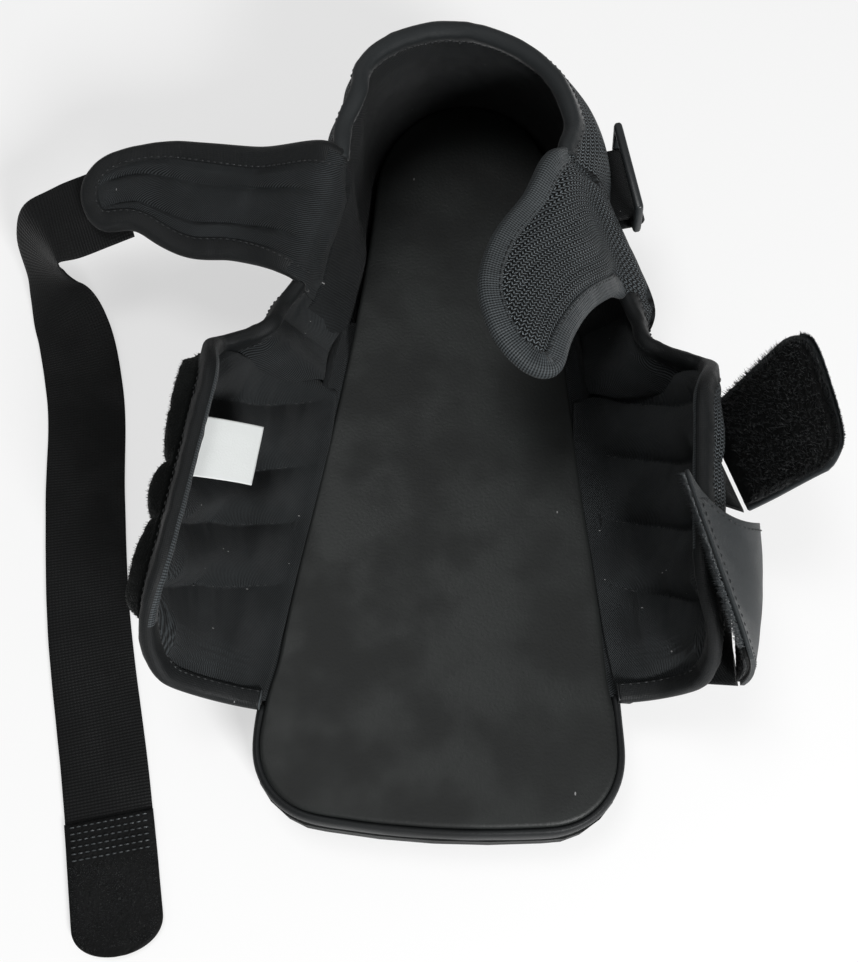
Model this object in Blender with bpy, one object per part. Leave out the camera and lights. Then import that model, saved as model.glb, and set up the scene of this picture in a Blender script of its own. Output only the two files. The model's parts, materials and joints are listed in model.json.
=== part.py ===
"""Open-toe padded foot guard with two instep wings, two ankle wings and three straps.

The long axis is Y with the toe at -Y, X is across the foot and Z is up. The origin lies on the
ground under the middle of the outsole. All sizes below are in millimetres; meshes are metres.
"""

import math

import bmesh
import bpy
from mathutils import Vector

MM = 0.001
SHARP_FROM = 40.0         # degrees between two faces, past which their edge isn't smoothed

# ---- driving dimensions, in millimetres and degrees ------------------------------------------
FIT_GAP = 0.3             # between pieces that touch

# footbed outline
HEEL_END = 145.0          # y of the back of the footbed
FOOTBED_LENGTH = 289.0
HEEL_ROUND = 45.0         # length of the half ellipse at the heel
HEEL_WIDTH = 72.0
ARCH_WIDTH = 79.0
WAIST_WIDTH = 94.0
BALL_WIDTH = 108.0
TOE_WIDTH = 117.0
ARCH_FROM_HEEL = 105.0
WAIST_FROM_HEEL = 167.0
BALL_FROM_HEEL = 218.0
TOE_CORNER_RADIUS = 22.0
TOE_BOW = 2.0             # how far the front edge bows forwards

# sole stack
OUTSOLE_THICKNESS = 12.0
OUTSOLE_FLANGE = 4.5      # outsole edge past the footbed edge
MIDSOLE_THICKNESS = 7.4
BOARD_THICKNESS = 1.2
BOARD_INSET = 1.0
FOOTBED_THICKNESS = 3.0
TREAD_GROOVE_WIDTH = 3.0
TREAD_GROOVE_DEPTH = 2.0
TREAD_GROOVE_PITCH = 26.0
TREAD_GROOVES_EACH_WAY = 4
RAND_THICKNESS = 4.0

# padded wall, measured from its middle surface
WALL_HALF = 4.2
FABRIC_THICKNESS = 1.3
COUNTER_THICKNESS = 1.0
CREASE_PINCH = 0.1        # share of the wall's thickness left at a crease
CREASE_BACK = 0.85        # wall edge to the crease axis
CREASE_START = 0.35       # crease axis to the wing's own edge
RIM_BACK = 3.6            # wall edge to the outer edge of its binding
BINDING_DEPTH = 3.0
BINDING_SHOULDER = 0.55   # of its depth, where the tape starts to round over
CREASE_END_INSET = 5.0
SEAM_HALF = 1.0           # half the unpadded seam between two channels

# collar rim
RIM_HEIGHT_HEEL = 87.0
RIM_HEEL_Y = 128.5
RIM_HEEL_X = -7.0         # the empty collar leans over to the open side
RIM_ROUND = 29.5          # length of the rim's curve behind the ankle
LEFT_RIM_HALF = 38.0
RIGHT_RIM_HALF = 30.5
RIM_POINTEDNESS = 1.3
RIM_SIDE_RISE = 2.0       # the rim's sides, above its back
CREASE_BOTTOM = (59.0, 43.0, 47.0)
LEFT_CREASE_TOP = (44.5, 74.0, 80.0)
RIGHT_CREASE_TOP = (33.0, 73.0, 87.0)
WAIST_FRONT_RIM = (66.0, 18.0, 57.0)
HEEL_SWELL = 7.0          # how far the wall bellies out at mid height
LEFT_SWELL = 9.0
LEFT_CREASE_SWELL = 1.0
RIGHT_SWELL = 25.0
WAIST_SWELL = 14.0

# instep wings (the two that fold over the forefoot)
WING_REAR_Y = 10.0
WING_FRONT_Y = -108.0
WING_RISE = 52.0          # rim, above the hinge
LEFT_WING_REACH = (27.0, 26.0)      # rim, outwards from the hinge, at the rear and the front
LEFT_WING_BELLY = (52.0, 41.0)      # how far the profile is pulled outwards
RIGHT_WING_REACH = (30.0, 15.0)
RIGHT_WING_BELLY = (55.0, 39.0)
WING_SEAMS = (18.0, 45.0, 71.0, 96.0)   # from the rear end, along the hinge
WING_HINGE_OUT = 5.7      # hinge from the chord of the footbed edge
LOOP_THICKNESS = 1.5
LOOP_FROM_END = 3         # columns, at each end of the wing
LOOP_ROWS = (2, 3, 4, 5, 6)
LABEL_THICKNESS = 0.4
LABEL_COLUMNS = (4.3, 5, 5.9)     # of the wing, which it reaches between
LABEL_ROWS = (3, 4, 5)

# straps of the right instep wing
STRAP_LAYER = 1.1
ANCHOR_THICKNESS = 2.0
STRAP_OFF_ANCHOR = 0.48   # to the strap's near face

# ankle strap
WEBBING_WIDTH = 30.0
WEBBING_THICKNESS = 1.6
HOOK_TAB_LENGTH = 31.0
HOOK_TAB_ROUND = 0.42     # of the width, how long its rounded end is
HOOK_TAB_BLUNT = 0.22     # of the width, left at the very end
HOOK_TAB_STEPS = 8
HOOK_DEPTH = 0.4
STRAP_TONGUE = 10.0       # radius of the sewn end
STRAP_BLUNT = 0.3         # of its width, left at the very end
STRAP_TUCK = 3.0          # its centre, inside the wing's tip
STRAP_LEAD = 1.3          # of the tongue's radius, that it still runs straight past its middle
STRAP_DROP = 0.95         # below the wing's cloth, so that it swings clear of the tape

# keeper ring
RING_LENGTH = 38.0
RING_HEIGHT = 16.0
RING_BAR = 3.0
RING_STANDOFF = 3.3
TAB_THICKNESS = 1.2
TAB_WIDTH = 30.0
RING_LEAN = 3.0            # outwards, from the wall's own slope
RING_ROW = 3              # of the collar, that its lower bar lies along
RING_STATIONS = (5.9, 8.6)   # columns of the collar that it reaches between, from the heel

# ---- worked out ------------------------------------------------------------------------------
TOE_END = HEEL_END - FOOTBED_LENGTH
FLANGE_TOP = OUTSOLE_THICKNESS
MIDSOLE_BOTTOM = FLANGE_TOP + FIT_GAP
BOARD_BOTTOM = MIDSOLE_BOTTOM + MIDSOLE_THICKNESS + FIT_GAP
FOOTBED_BOTTOM = BOARD_BOTTOM + BOARD_THICKNESS + FIT_GAP
FOOTBED_TOP = FOOTBED_BOTTOM + FOOTBED_THICKNESS
WALL_OUT = WALL_HALF + 3 * FIT_GAP       # wall middle from the footbed edge
SIDE_RAND_TOP = FOOTBED_TOP - WALL_HALF - 2 * FIT_GAP
SIDE_RAND_THICKNESS = WING_HINGE_OUT - 2 * FIT_GAP

LINING = (-WALL_HALF, -WALL_HALF + FABRIC_THICKNESS)
SHELL = (WALL_HALF - FABRIC_THICKNESS, WALL_HALF)
FOAM = (LINING[1] + FIT_GAP, SHELL[0] - FIT_GAP)
COUNTER = (SHELL[0] - FIT_GAP - COUNTER_THICKNESS, SHELL[0] - FIT_GAP)
COLLAR_FOAM = (LINING[1] + FIT_GAP, COUNTER[0] - FIT_GAP)
ON_SHELL = WALL_HALF + 1.5 * FIT_GAP     # offset of what is sewn on the shell
STRAP_HALF = STRAP_LAYER + FIT_GAP / 2
BINDING_START = 2 * FIT_GAP


# ---- small helpers ---------------------------------------------------------------------------
def clear_scene():
    for item in list(bpy.data.objects):
        bpy.data.objects.remove(item, do_unlink=True)


def mix(a, b, share):
    return a + (b - a) * share


def bezier(p0, p1, p2, p3, t):
    s = 1.0 - t
    return p0 * s**3 + p1 * (3 * s * s * t) + p2 * (3 * s * t * t) + p3 * t**3


def material(name, colour, roughness, metallic=0.0):
    made = bpy.data.materials.get(name) or bpy.data.materials.new(name)
    made.use_nodes = True
    shader = made.node_tree.nodes["Principled BSDF"]
    shader.inputs["Base Color"].default_value = (*colour, 1.0)
    shader.inputs["Roughness"].default_value = roughness
    shader.inputs["Metallic"].default_value = metallic
    return made


def finish(name, bm, look, parent=None, smooth=True):
    """Turns a bmesh in millimetres into a named object in metres."""
    bmesh.ops.recalc_face_normals(bm, faces=bm.faces[:])
    origin = parent.location if parent else Vector()
    bmesh.ops.scale(bm, vec=Vector((MM, MM, MM)), verts=bm.verts)
    bmesh.ops.translate(bm, vec=-origin, verts=bm.verts)
    mesh = bpy.data.meshes.new(name)
    bm.to_mesh(mesh)
    bm.free()
    if smooth:
        mesh.shade_smooth()
        mesh.set_sharp_from_angle(angle=math.radians(SHARP_FROM))
    mesh.materials.append(look)
    made = bpy.data.objects.new(name, mesh)
    bpy.context.collection.objects.link(made)
    made.parent = parent
    return made


def pivot(name, place):
    """An empty on a joint's axis, which carries the pieces that turn about it."""
    empty = bpy.data.objects.new(name, None)
    empty.location = place * MM
    bpy.context.collection.objects.link(empty)
    return empty


# ---- footbed outline -------------------------------------------------------------------------
def half_width(y):
    """Half the footbed's width between the heel ellipse and the toe corners."""
    stations = (
        (HEEL_END - HEEL_ROUND, HEEL_WIDTH / 2),
        (HEEL_END - ARCH_FROM_HEEL, ARCH_WIDTH / 2),
        (HEEL_END - WAIST_FROM_HEEL, WAIST_WIDTH / 2),
        (HEEL_END - BALL_FROM_HEEL, BALL_WIDTH / 2),
        (TOE_END + TOE_CORNER_RADIUS + TOE_BOW, TOE_WIDTH / 2),
    )
    y = max(min(y, stations[0][0]), stations[-1][0])
    for i in range(len(stations) - 1):
        (ya, wa), (yb, wb) = stations[i], stations[i + 1]
        if y >= yb:
            before = stations[max(i - 1, 0)]
            after = stations[min(i + 2, len(stations) - 1)]
            slope_a = (wb - before[1]) / (yb - before[0]) * (yb - ya)
            slope_b = (after[1] - wa) / (after[0] - ya) * (yb - ya)
            if i == 0:
                slope_a = 0.0
            t = (y - ya) / (yb - ya)
            return (
                wa * (2 * t**3 - 3 * t**2 + 1)
                + slope_a * (t**3 - 2 * t**2 + t)
                + wb * (3 * t**2 - 2 * t**3)
                + slope_b * (t**3 - t**2)
            )
    return TOE_WIDTH / 2


def right_outline():
    """Points of the footbed's right edge, from the heel's middle to the toe's middle."""
    points = []
    heel_steps, side_steps, corner_steps = 10, 14, 6
    heel_centre = HEEL_END - HEEL_ROUND
    for i in range(heel_steps):
        angle = math.pi / 2 * i / heel_steps
        points.append(Vector((HEEL_WIDTH / 2 * math.sin(angle),
                              heel_centre + HEEL_ROUND * math.cos(angle), 0)))
    corner_y = TOE_END + TOE_BOW + TOE_CORNER_RADIUS
    for i in range(side_steps):
        y = mix(heel_centre, corner_y, i / side_steps)
        points.append(Vector((half_width(y), y, 0)))
    corner_x = TOE_WIDTH / 2 - TOE_CORNER_RADIUS
    for i in range(corner_steps + 1):
        angle = math.pi / 2 * i / corner_steps
        points.append(Vector((corner_x + TOE_CORNER_RADIUS * math.cos(angle),
                              corner_y - TOE_CORNER_RADIUS * math.sin(angle), 0)))
    points.append(Vector((corner_x / 2, TOE_END + TOE_BOW * 0.25, 0)))
    points.append(Vector((0, TOE_END, 0)))
    return points


def full_outline(margin):
    """The closed footbed outline, pushed out by a margin along its own normals."""
    right = right_outline()
    left = [Vector((-p.x, p.y, 0)) for p in right[1:-1]]
    ring = right + left[::-1]
    return pushed(ring, margin, closed=True)


def pushed(line, margin, closed=False):
    """A line of points, pushed sideways; on the right edge from heel to toe that is outwards."""
    count = len(line)
    result = []
    for i, p in enumerate(line):
        before = line[i - 1] if closed or i else p
        after = line[(i + 1) % count] if closed or i < count - 1 else p
        along = (after - before).normalized()
        result.append(p + Vector((-along.y, along.x, 0)) * margin)
    return result


def edge_at(distance, margin):
    """A point on the right edge at a distance from the heel's middle, and its outward normal."""
    line = right_outline()
    walked = 0.0
    for a, b in zip(line, line[1:]):
        step = (b - a).length
        if walked + step >= distance:
            along = (b - a).normalized()
            out = Vector((-along.y, along.x, 0))
            return mix(a, b, (distance - walked) / step) + out * margin, out
        walked += step
    return line[-1], Vector((0, -1, 0))


def slab(name, ring, bottom, top, look, smooth=True):
    """An upright solid with one flat outline."""
    bm = bmesh.new()
    face = bm.faces.new([bm.verts.new((p.x, p.y, bottom)) for p in ring])
    made = bmesh.ops.extrude_face_region(bm, geom=[face])
    lifted = [v for v in made["geom"] if isinstance(v, bmesh.types.BMVert)]
    bmesh.ops.translate(bm, vec=(0, 0, top - bottom), verts=lifted)
    return finish(name, bm, look, smooth=smooth)


def upright_strip(name, line, inner, outer, bottom, top, look):
    """A strip that follows a line on edge, between two distances from it."""
    inside = pushed(line, inner)
    outside = pushed(line, outer)
    return slab(name, inside + outside[::-1], bottom, top, look)


# ---- curved padded walls ---------------------------------------------------------------------
class Wall:
    """A curved wall given by columns of points; offsets run along its normals.

    u counts columns and may lie between two of them; v counts the rows of a column.
    """

    def __init__(self, columns, outside, pinch=None):
        self.columns = columns
        self.rows = len(columns[0])
        self.pinch = pinch or [[1.0] * self.rows for _ in columns]
        self.normals = [[self.normal_at(i, j, outside) for j in range(self.rows)]
                        for i in range(len(columns))]

    def normal_at(self, i, j, outside):
        last = len(self.columns) - 1
        across = self.columns[min(i + 1, last)][j] - self.columns[max(i - 1, 0)][j]
        column = self.columns[i]
        up = column[min(j + 1, self.rows - 1)] - column[max(j - 1, 0)]
        normal = across.cross(up).normalized()
        return normal if normal.dot(outside(column[j])) > 0 else -normal

    def at(self, u, v, offset):
        i = min(int(u), len(self.columns) - 2)
        share = u - i
        ends = []
        for k in (i, i + 1):
            reach = offset * self.pinch[k][v]
            ends.append(self.columns[k][v] + self.normals[k][v] * reach)
        return mix(ends[0], ends[1], share)

    def normal(self, u, v):
        return (self.at(u, v, 1.0) - self.at(u, v, 0.0)).normalized()


def layer(name, wall, us, vs, span, look, parent=None):
    """One closed layer of a wall: a sheet at the first offset, extruded to the second."""
    bm = bmesh.new()
    keep_u = bm.verts.layers.float.new("u")
    keep_v = bm.verts.layers.int.new("v")
    grid = []
    for u in us:
        column = []
        for v in vs:
            vert = bm.verts.new(wall.at(u, v, span[0]))
            vert[keep_u] = u
            vert[keep_v] = v
            column.append(vert)
        grid.append(column)
    faces = []
    for left, right in zip(grid, grid[1:]):
        for j in range(len(vs) - 1):
            faces.append(bm.faces.new((left[j], right[j], right[j + 1], left[j + 1])))
    made = bmesh.ops.extrude_face_region(bm, geom=faces)
    for vert in made["geom"]:
        if isinstance(vert, bmesh.types.BMVert):
            vert.co = wall.at(vert[keep_u], vert[keep_v], span[1])
    return finish(name, bm, look, parent)


def binding(name, wall, path, look, parent=None):
    """Edge tape: a rounded strip that caps the wall's edge along a path of (u, v) places."""
    middles = [wall.at(u, v, 0.0) for u, v in path]
    bm = bmesh.new()
    rings = []
    centre = (len(wall.columns) - 1) / 2
    shoulder = BINDING_START + BINDING_SHOULDER * BINDING_DEPTH
    end = BINDING_START + BINDING_DEPTH
    for k, (u, v) in enumerate(path):
        tangent = middles[min(k + 1, len(path) - 1)] - middles[max(k - 1, 0)]
        normal = wall.normal(u, v)
        outward = tangent.cross(normal).normalized()
        inner_row = v + (1 if v == 0 else -1 if v == wall.rows - 1 else 0)
        inner = wall.at(mix(u, centre, 0.05), inner_row, 0.0)
        if outward.dot(middles[k] - inner) < 0:
            outward = -outward
        thickness = WALL_HALF * (wall.at(u, v, 1.0) - middles[k]).length
        section = (
            (-1.0, BINDING_START), (-1.0, shoulder), (-0.5, end),
            (0.5, end), (1.0, shoulder), (1.0, BINDING_START),
        )
        rings.append([bm.verts.new(middles[k] + normal * (thickness * a) + outward * b)
                      for a, b in section])
    for first, second in zip(rings, rings[1:]):
        for j in range(len(first)):
            n = (j + 1) % len(first)
            bm.faces.new((first[j], first[n], second[n], second[j]))
    bm.faces.new(rings[0])
    bm.faces.new(rings[-1])
    return finish(name, bm, look, parent)


# ---- materials -------------------------------------------------------------------------------
def looks():
    return {
        "footbed": material("footbed_fabric", (0.028, 0.032, 0.031), 0.85),
        "board": material("board", (0.16, 0.12, 0.08), 0.8),
        "rubber": material("sole_rubber", (0.012, 0.012, 0.013), 0.75),
        "eva": material("eva_foam", (0.03, 0.03, 0.032), 0.9),
        "lining": material("brushed_lining", (0.022, 0.025, 0.028), 0.95),
        "foam": material("pad_foam", (0.35, 0.34, 0.30), 0.95),
        "mesh": material("spacer_mesh", (0.03, 0.032, 0.034), 0.8),
        "binding": material("binding_tape", (0.035, 0.037, 0.04), 0.7),
        "loop": material("loop_pile", (0.012, 0.012, 0.013), 1.0),
        "hook": material("hook_tape", (0.015, 0.015, 0.016), 0.7),
        "backing": material("strap_backing", (0.05, 0.053, 0.056), 0.6),
        "webbing": material("webbing", (0.014, 0.015, 0.016), 0.9),
        "plastic": material("black_plastic", (0.02, 0.02, 0.021), 0.35),
        "counter": material("heel_board", (0.05, 0.05, 0.05), 0.5),
        "label": material("label_tape", (0.85, 0.85, 0.84), 0.7),
    }


# ---- sole ------------------------------------------------------------------------------------
def cut_grooves(outsole):
    """Straight tread grooves across the underside, either side of a plain middle block."""
    for k in range(-TREAD_GROOVES_EACH_WAY, TREAD_GROOVES_EACH_WAY + 1):
        y = TREAD_GROOVE_PITCH * (k + (0.5 if k < 0 else -0.5))
        if k == 0:
            continue
        bpy.ops.mesh.primitive_cube_add(size=1)
        cutter = bpy.context.object
        cutter.name = f"groove_cutter_{k + TREAD_GROOVES_EACH_WAY}"
        cutter.scale = (2 * TOE_WIDTH * MM, TREAD_GROOVE_WIDTH * MM, 2 * TREAD_GROOVE_DEPTH * MM)
        cutter.location = (0, y * MM, 0)
        cutter.hide_render = True
        cutter.display_type = "WIRE"
        cut = outsole.modifiers.new("groove", "BOOLEAN")
        cut.operation = "DIFFERENCE"
        cut.object = cutter


def wing_hinge(side):
    """The two ends of an instep wing's hinge, from the rear to the front."""
    ends = []
    for y in (WING_REAR_Y, WING_FRONT_Y):
        ends.append(Vector((side * (half_width(y) + WING_HINGE_OUT), y, FOOTBED_TOP)))
    return ends


def build_sole(look):
    outsole = slab("outsole", full_outline(OUTSOLE_FLANGE), 0, OUTSOLE_THICKNESS,
                   look["rubber"], smooth=False)
    cut_grooves(outsole)
    slab("midsole", full_outline(0), MIDSOLE_BOTTOM, MIDSOLE_BOTTOM + MIDSOLE_THICKNESS, look["eva"])
    slab("insole_board", full_outline(-BOARD_INSET), BOARD_BOTTOM,
         BOARD_BOTTOM + BOARD_THICKNESS, look["board"])
    slab("footbed", full_outline(0), FOOTBED_BOTTOM, FOOTBED_TOP, look["footbed"])
    build_rands(look)


def build_rands(look):
    """The edge band round the sole: a low one under each wing and a full one round the toe."""
    line = right_outline()
    near_toe = [p for p in line if p.y < WING_FRONT_Y - FIT_GAP]
    near_toe.insert(0, Vector((half_width(WING_FRONT_Y), WING_FRONT_Y - FIT_GAP, 0)))
    near_toe[-1].x = 0
    toe = near_toe + [Vector((-p.x, p.y, 0)) for p in near_toe[-2::-1]]
    upright_strip("toe_rand", toe, FIT_GAP, RAND_THICKNESS, MIDSOLE_BOTTOM, FOOTBED_TOP,
                  look["footbed"])
    steps = 6
    ys = [mix(WING_REAR_Y, WING_FRONT_Y, i / steps) for i in range(steps + 1)]
    for side, name in ((1, "right_side_rand"), (-1, "left_side_rand")):
        points = [Vector((side * half_width(y), y, 0)) for y in ys]
        upright_strip(name, points, side * FIT_GAP, side * SIDE_RAND_THICKNESS, MIDSOLE_BOTTOM,
                      SIDE_RAND_TOP, look["footbed"])


# ---- fixed upper: heel collar and the low walls at the waist ----------------------------------
COLLAR_ROWS = (0.0, 0.16, 0.36, 0.6, 0.82, 1.0)
COLLAR_LOW_PULL = 0.3     # of its height, how far a profile rises before it bends
COLLAR_HIGH_PULL = 0.36
SWELL_FULL_AT = 70.0      # from the heel's middle, where the side's own swell is reached
WAIST_PINCH = 0.85        # of the wall's thickness, at a rim that isn't creased
RIM_SIDE_BOW = (1.5, 0.0, 1.0)    # between the heel's curve and the crease
WAIST_DIP = 1.0
PAD_INSET = 0.08          # of a column, between two pads
CREASE_TAPE_END = 0.2     # of a column, from where the wing starts
HEEL_STATIONS = 6         # on each side of the middle of the heel
HEEL_STATION_PITCH = 11.5


def rim_stations(side):
    """Distance along the footbed edge from the heel's middle, and the rim point there."""
    top = Vector(RIGHT_CREASE_TOP if side > 0 else LEFT_CREASE_TOP)
    bottom = Vector(CREASE_BOTTOM)
    front = Vector(WAIST_FRONT_RIM)
    half = RIGHT_RIM_HALF if side > 0 else LEFT_RIM_HALF
    stations = []
    for i in range(HEEL_STATIONS + 1):
        angle = math.pi / 2 * i / HEEL_STATIONS
        lean = side * RIM_HEEL_X * math.cos(angle)
        rim = Vector((lean + half * math.sin(angle) ** RIM_POINTEDNESS,
                      RIM_HEEL_Y - RIM_ROUND * (1 - math.cos(angle)),
                      RIM_HEIGHT_HEEL + RIM_SIDE_RISE * math.sin(angle)))
        stations.append((HEEL_STATION_PITCH * i, rim, "rim"))
    side_rim = mix(stations[-1][1], top, 0.5) + Vector(RIM_SIDE_BOW)
    stations += [
        (82.0, side_rim, "rim"),
        (95.0, top, "crease"),
        (110.0, mix(top, bottom, 0.5), "crease"),
        (125.0, bottom, "crease"),
        (138.0, mix(bottom, front, 0.45) - Vector((0, 0, WAIST_DIP)), "waist"),
        (151.5, front, "waist"),
    ]
    return stations


def wall_column(distance, rim, kind, side):
    """One upright profile of the fixed upper, with its top set back from the rim."""
    base, out = edge_at(distance, WALL_OUT)
    base.z = MIDSOLE_BOTTOM
    up = Vector((0, 0, 1))
    full = RIGHT_SWELL if side > 0 else LEFT_CREASE_SWELL if kind == "crease" else LEFT_SWELL
    if kind == "waist":
        full = WAIST_SWELL
    swell = mix(HEEL_SWELL, full, min(1.0, distance / SWELL_FULL_AT))
    height = rim.z - base.z
    low = base + up * (COLLAR_LOW_PULL * height) + out * (swell / 2)
    high = rim - up * (COLLAR_HIGH_PULL * height) + out * swell
    length = (rim - base).length
    back = CREASE_BACK if kind == "crease" else RIM_BACK
    top = 1.0 - back / length
    points = [bezier(base, low, high, rim, row * top) for row in COLLAR_ROWS]
    return [Vector((side * p.x, p.y, p.z)) for p in points]


def fixed_wall():
    """The whole fixed upper, from the left waist round the heel to the right waist."""
    left = rim_stations(-1)
    right = rim_stations(1)
    stations = [(s, -1) for s in left[:0:-1]] + [(s, 1) for s in right]
    columns = [wall_column(*s, side) for s, side in stations]
    pinch = []
    for (_, _, kind), _side in stations:
        end = CREASE_PINCH if kind == "crease" else WAIST_PINCH
        pinch.append([1.0] * (len(COLLAR_ROWS) - 1) + [end])
    centre = Vector((0, HEEL_END - HEEL_ROUND, 0))

    def outside(p):
        return Vector((p.x, max(p.y - centre.y, 0.0), 0))

    return Wall(columns, outside, pinch)


def build_fixed_upper(look):
    wall = fixed_wall()
    last = len(wall.columns) - 1
    heel = last // 2
    crease_top = HEEL_STATIONS + 2
    rows = list(range(len(COLLAR_ROWS)))
    every = list(range(last + 1))
    layer("collar_shell", wall, every, rows, SHELL, look["mesh"])
    layer("collar_lining", wall, every, rows, LINING, look["lining"])
    reach = HEEL_STATIONS
    layer("heel_counter", wall, list(range(heel - reach, heel + reach + 1)), rows[:4], COUNTER,
          look["counter"])
    pads = (
        ("collar_heel_pad", heel - 4, heel + 4),
        ("collar_left_pad", heel - crease_top, heel - 4),
        ("collar_right_pad", heel + 4, heel + crease_top),
        ("left_waist_pad", 0, heel - crease_top),
        ("right_waist_pad", heel + crease_top, last),
    )
    for name, start, end in pads:
        us = [start + PAD_INSET] + list(range(start + 1, end)) + [end - PAD_INSET]
        layer(name, wall, us, rows[1:-1], COLLAR_FOAM, look["foam"])
    top = rows[-1]
    rim = list(range(heel - crease_top + 1, heel + crease_top))
    rim = [rim[0] - 1 + CREASE_TAPE_END] + rim + [rim[-1] + 1 - CREASE_TAPE_END]
    binding("collar_binding", wall, [(u, top) for u in rim], look["binding"])
    notch = [last - 2 + 2 * CREASE_TAPE_END, last - 1, last]
    binding("right_notch_binding", wall, [(u, top) for u in notch], look["binding"])
    binding("left_notch_binding", wall, [(last - u, top) for u in notch], look["binding"])
    return wall


# ---- instep wings ----------------------------------------------------------------------------
WING_ROWS = (0.0, 0.14, 0.3, 0.46, 0.6, 0.74, 0.88, 1.0)
WING_FOAM_ROWS = range(1, 7)
# how the rim falls off towards each end: distance from the end, height as a share
WING_REAR_CORNER = ((0.0, 0.56), (2.5, 0.67), (6.0, 0.78), (11.0, 0.89))
WING_FRONT_CORNER = ((0.0, 0.58), (3.0, 0.72), (7.5, 0.84), (14.0, 0.94))
WING_BINDING_START = 4                   # row where the tape leaves the waist
WING_PROFILE_LENGTH = 1.6                # of its rise


def wing_columns():
    """Each column of an instep wing: distance along the hinge, and how high it reaches."""
    length = (wing_hinge(1)[1] - wing_hinge(1)[0]).length
    stops = [WING_REAR_CORNER[-1][0]] + list(WING_SEAMS)
    places = list(WING_REAR_CORNER)
    for k, (a, b) in enumerate(zip(stops, stops[1:])):
        if k:
            places.append(((a + b) / 2, 1.0))
        places.append((b, 1.0))
    places += [(length - d, height) for d, height in reversed(WING_FRONT_CORNER)]
    return [p for p, _ in places], [h for _, h in places]


def instep_wing(side):
    """The middle surface of an instep wing, a bowl-shaped profile swept along its hinge."""
    rear, front = wing_hinge(side)
    along = (front - rear).normalized()
    out = Vector((-along.y, along.x, 0)) * -side
    if out.x * side < 0:
        out = -out
    up = Vector((0, 0, 1))
    columns = []
    reaches = RIGHT_WING_REACH if side > 0 else LEFT_WING_REACH
    bellies = RIGHT_WING_BELLY if side > 0 else LEFT_WING_BELLY
    places, heights = wing_columns()
    for place, height in zip(places, heights):
        base = rear + along * place
        reach = mix(*reaches, place / places[-1])
        belly = mix(*bellies, place / places[-1])
        p1 = base + out * (belly / 2) - up
        p2 = base + out * belly + up * (WING_RISE / 2)
        p3 = base + out * reach + up * WING_RISE
        rim = 1.0 - RIM_BACK / (WING_PROFILE_LENGTH * WING_RISE)
        columns.append([bezier(base, p1, p2, p3, row * height * rim) for row in WING_ROWS])

    def outside(p):
        middle = (rear + front) / 2 + up * (WING_RISE / 2) + out * (reaches[1] / 3)
        return (p - middle) - along * (p - middle).dot(along)

    return Wall(columns, outside)


def build_instep_wing(look, prefix, side):
    wall = instep_wing(side)
    rear, front = wing_hinge(side)
    parent = pivot(f"{prefix}_fold", (rear + front) / 2)
    last = len(wall.columns) - 1
    rows = list(range(len(WING_ROWS)))
    every = list(range(last + 1))
    layer(f"{prefix}_shell", wall, every, rows, SHELL, look["mesh"], parent)
    layer(f"{prefix}_lining", wall, every, rows, LINING, look["lining"], parent)
    places, _ = wing_columns()
    stops = [0] + [places.index(seam) for seam in WING_SEAMS] + [last]
    for k, (a, b) in enumerate(zip(stops, stops[1:])):
        start = a + SEAM_HALF / (places[a + 1] - places[a])
        end = b - SEAM_HALF / (places[b] - places[b - 1])
        layer(f"{prefix}_pad_{k + 1}", wall, [start] + list(range(a + 1, b)) + [end],
              WING_FOAM_ROWS, FOAM, look["foam"], parent)
    edge = [(0, v) for v in rows[WING_BINDING_START:-1]] + [(u, rows[-1]) for u in every]
    edge += [(last, v) for v in reversed(rows[:-1])]
    binding(f"{prefix}_binding", wall, edge, look["binding"], parent)
    return wall, parent


def build_loop_panel(look, wall, parent):
    """The loop pile that the straps stick to, over the left wing's shell."""
    us = list(range(LOOP_FROM_END, len(wall.columns) - LOOP_FROM_END))
    span = (ON_SHELL, ON_SHELL + LOOP_THICKNESS)
    layer("left_loop_panel", wall, us, LOOP_ROWS, span, look["loop"], parent)


def build_label(look, wall, parent):
    """A bare size label on the left wing's lining, near the rim of the second channel."""
    near, far = LINING[0] - FIT_GAP, LINING[0] - FIT_GAP - LABEL_THICKNESS
    layer("size_label", wall, LABEL_COLUMNS, LABEL_ROWS, (near, far), look["label"], parent)


# ---- ankle wings -----------------------------------------------------------------------------
# lower and upper edge of each wing, outwards from the crease
LEFT_ANKLE_EDGES = (
    ((-84, 52, 48.5), (-76, 84, 66)),
    ((-110, 54.5, 45.5), (-106, 91, 58)),
    ((-128, 58, 45), (-131, 90, 52)),
    ((-138.5, 61, 43), (-146, 82, 49)),
)
RIGHT_ANKLE_EDGES = (
    ((51, 33, 65), (21, 51, 90)),
    ((43.5, 17, 77), (11, 32, 93)),
    ((38, 0.5, 84.5), (8, 12, 94)),
    ((33.5, -13.5, 88), (17, -11, 91)),
)
ANKLE_ROWS = (0.0, 0.1, 0.34, 0.5, 0.66, 0.9, 1.0)
ANKLE_PADS = ((1, 2), (2, 4), (4, 5))
ANKLE_CAMBER = 4.0
ANKLE_CAMBERS = (0.0, 0.0, 1.0, 0.8, 0.3, 0.0)    # by column, as shares
ANKLE_TIP_PINCH = 0.6
ANKLE_PAD_START = 1.15    # column
ANKLE_PAD_ROWS = (0.04, 0.5, 0.96)
ANKLE_PAD_TRIM = 0.9      # thinner than the other foam, for the bent faces beside it
PINCH_LENGTH = 11.0


def crease(side):
    """Bottom and top of a crease, in place."""
    top = RIGHT_CREASE_TOP if side > 0 else LEFT_CREASE_TOP
    ends = (Vector(CREASE_BOTTOM), Vector(top))
    return [Vector((side * p.x, p.y, p.z)) for p in ends]


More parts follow.
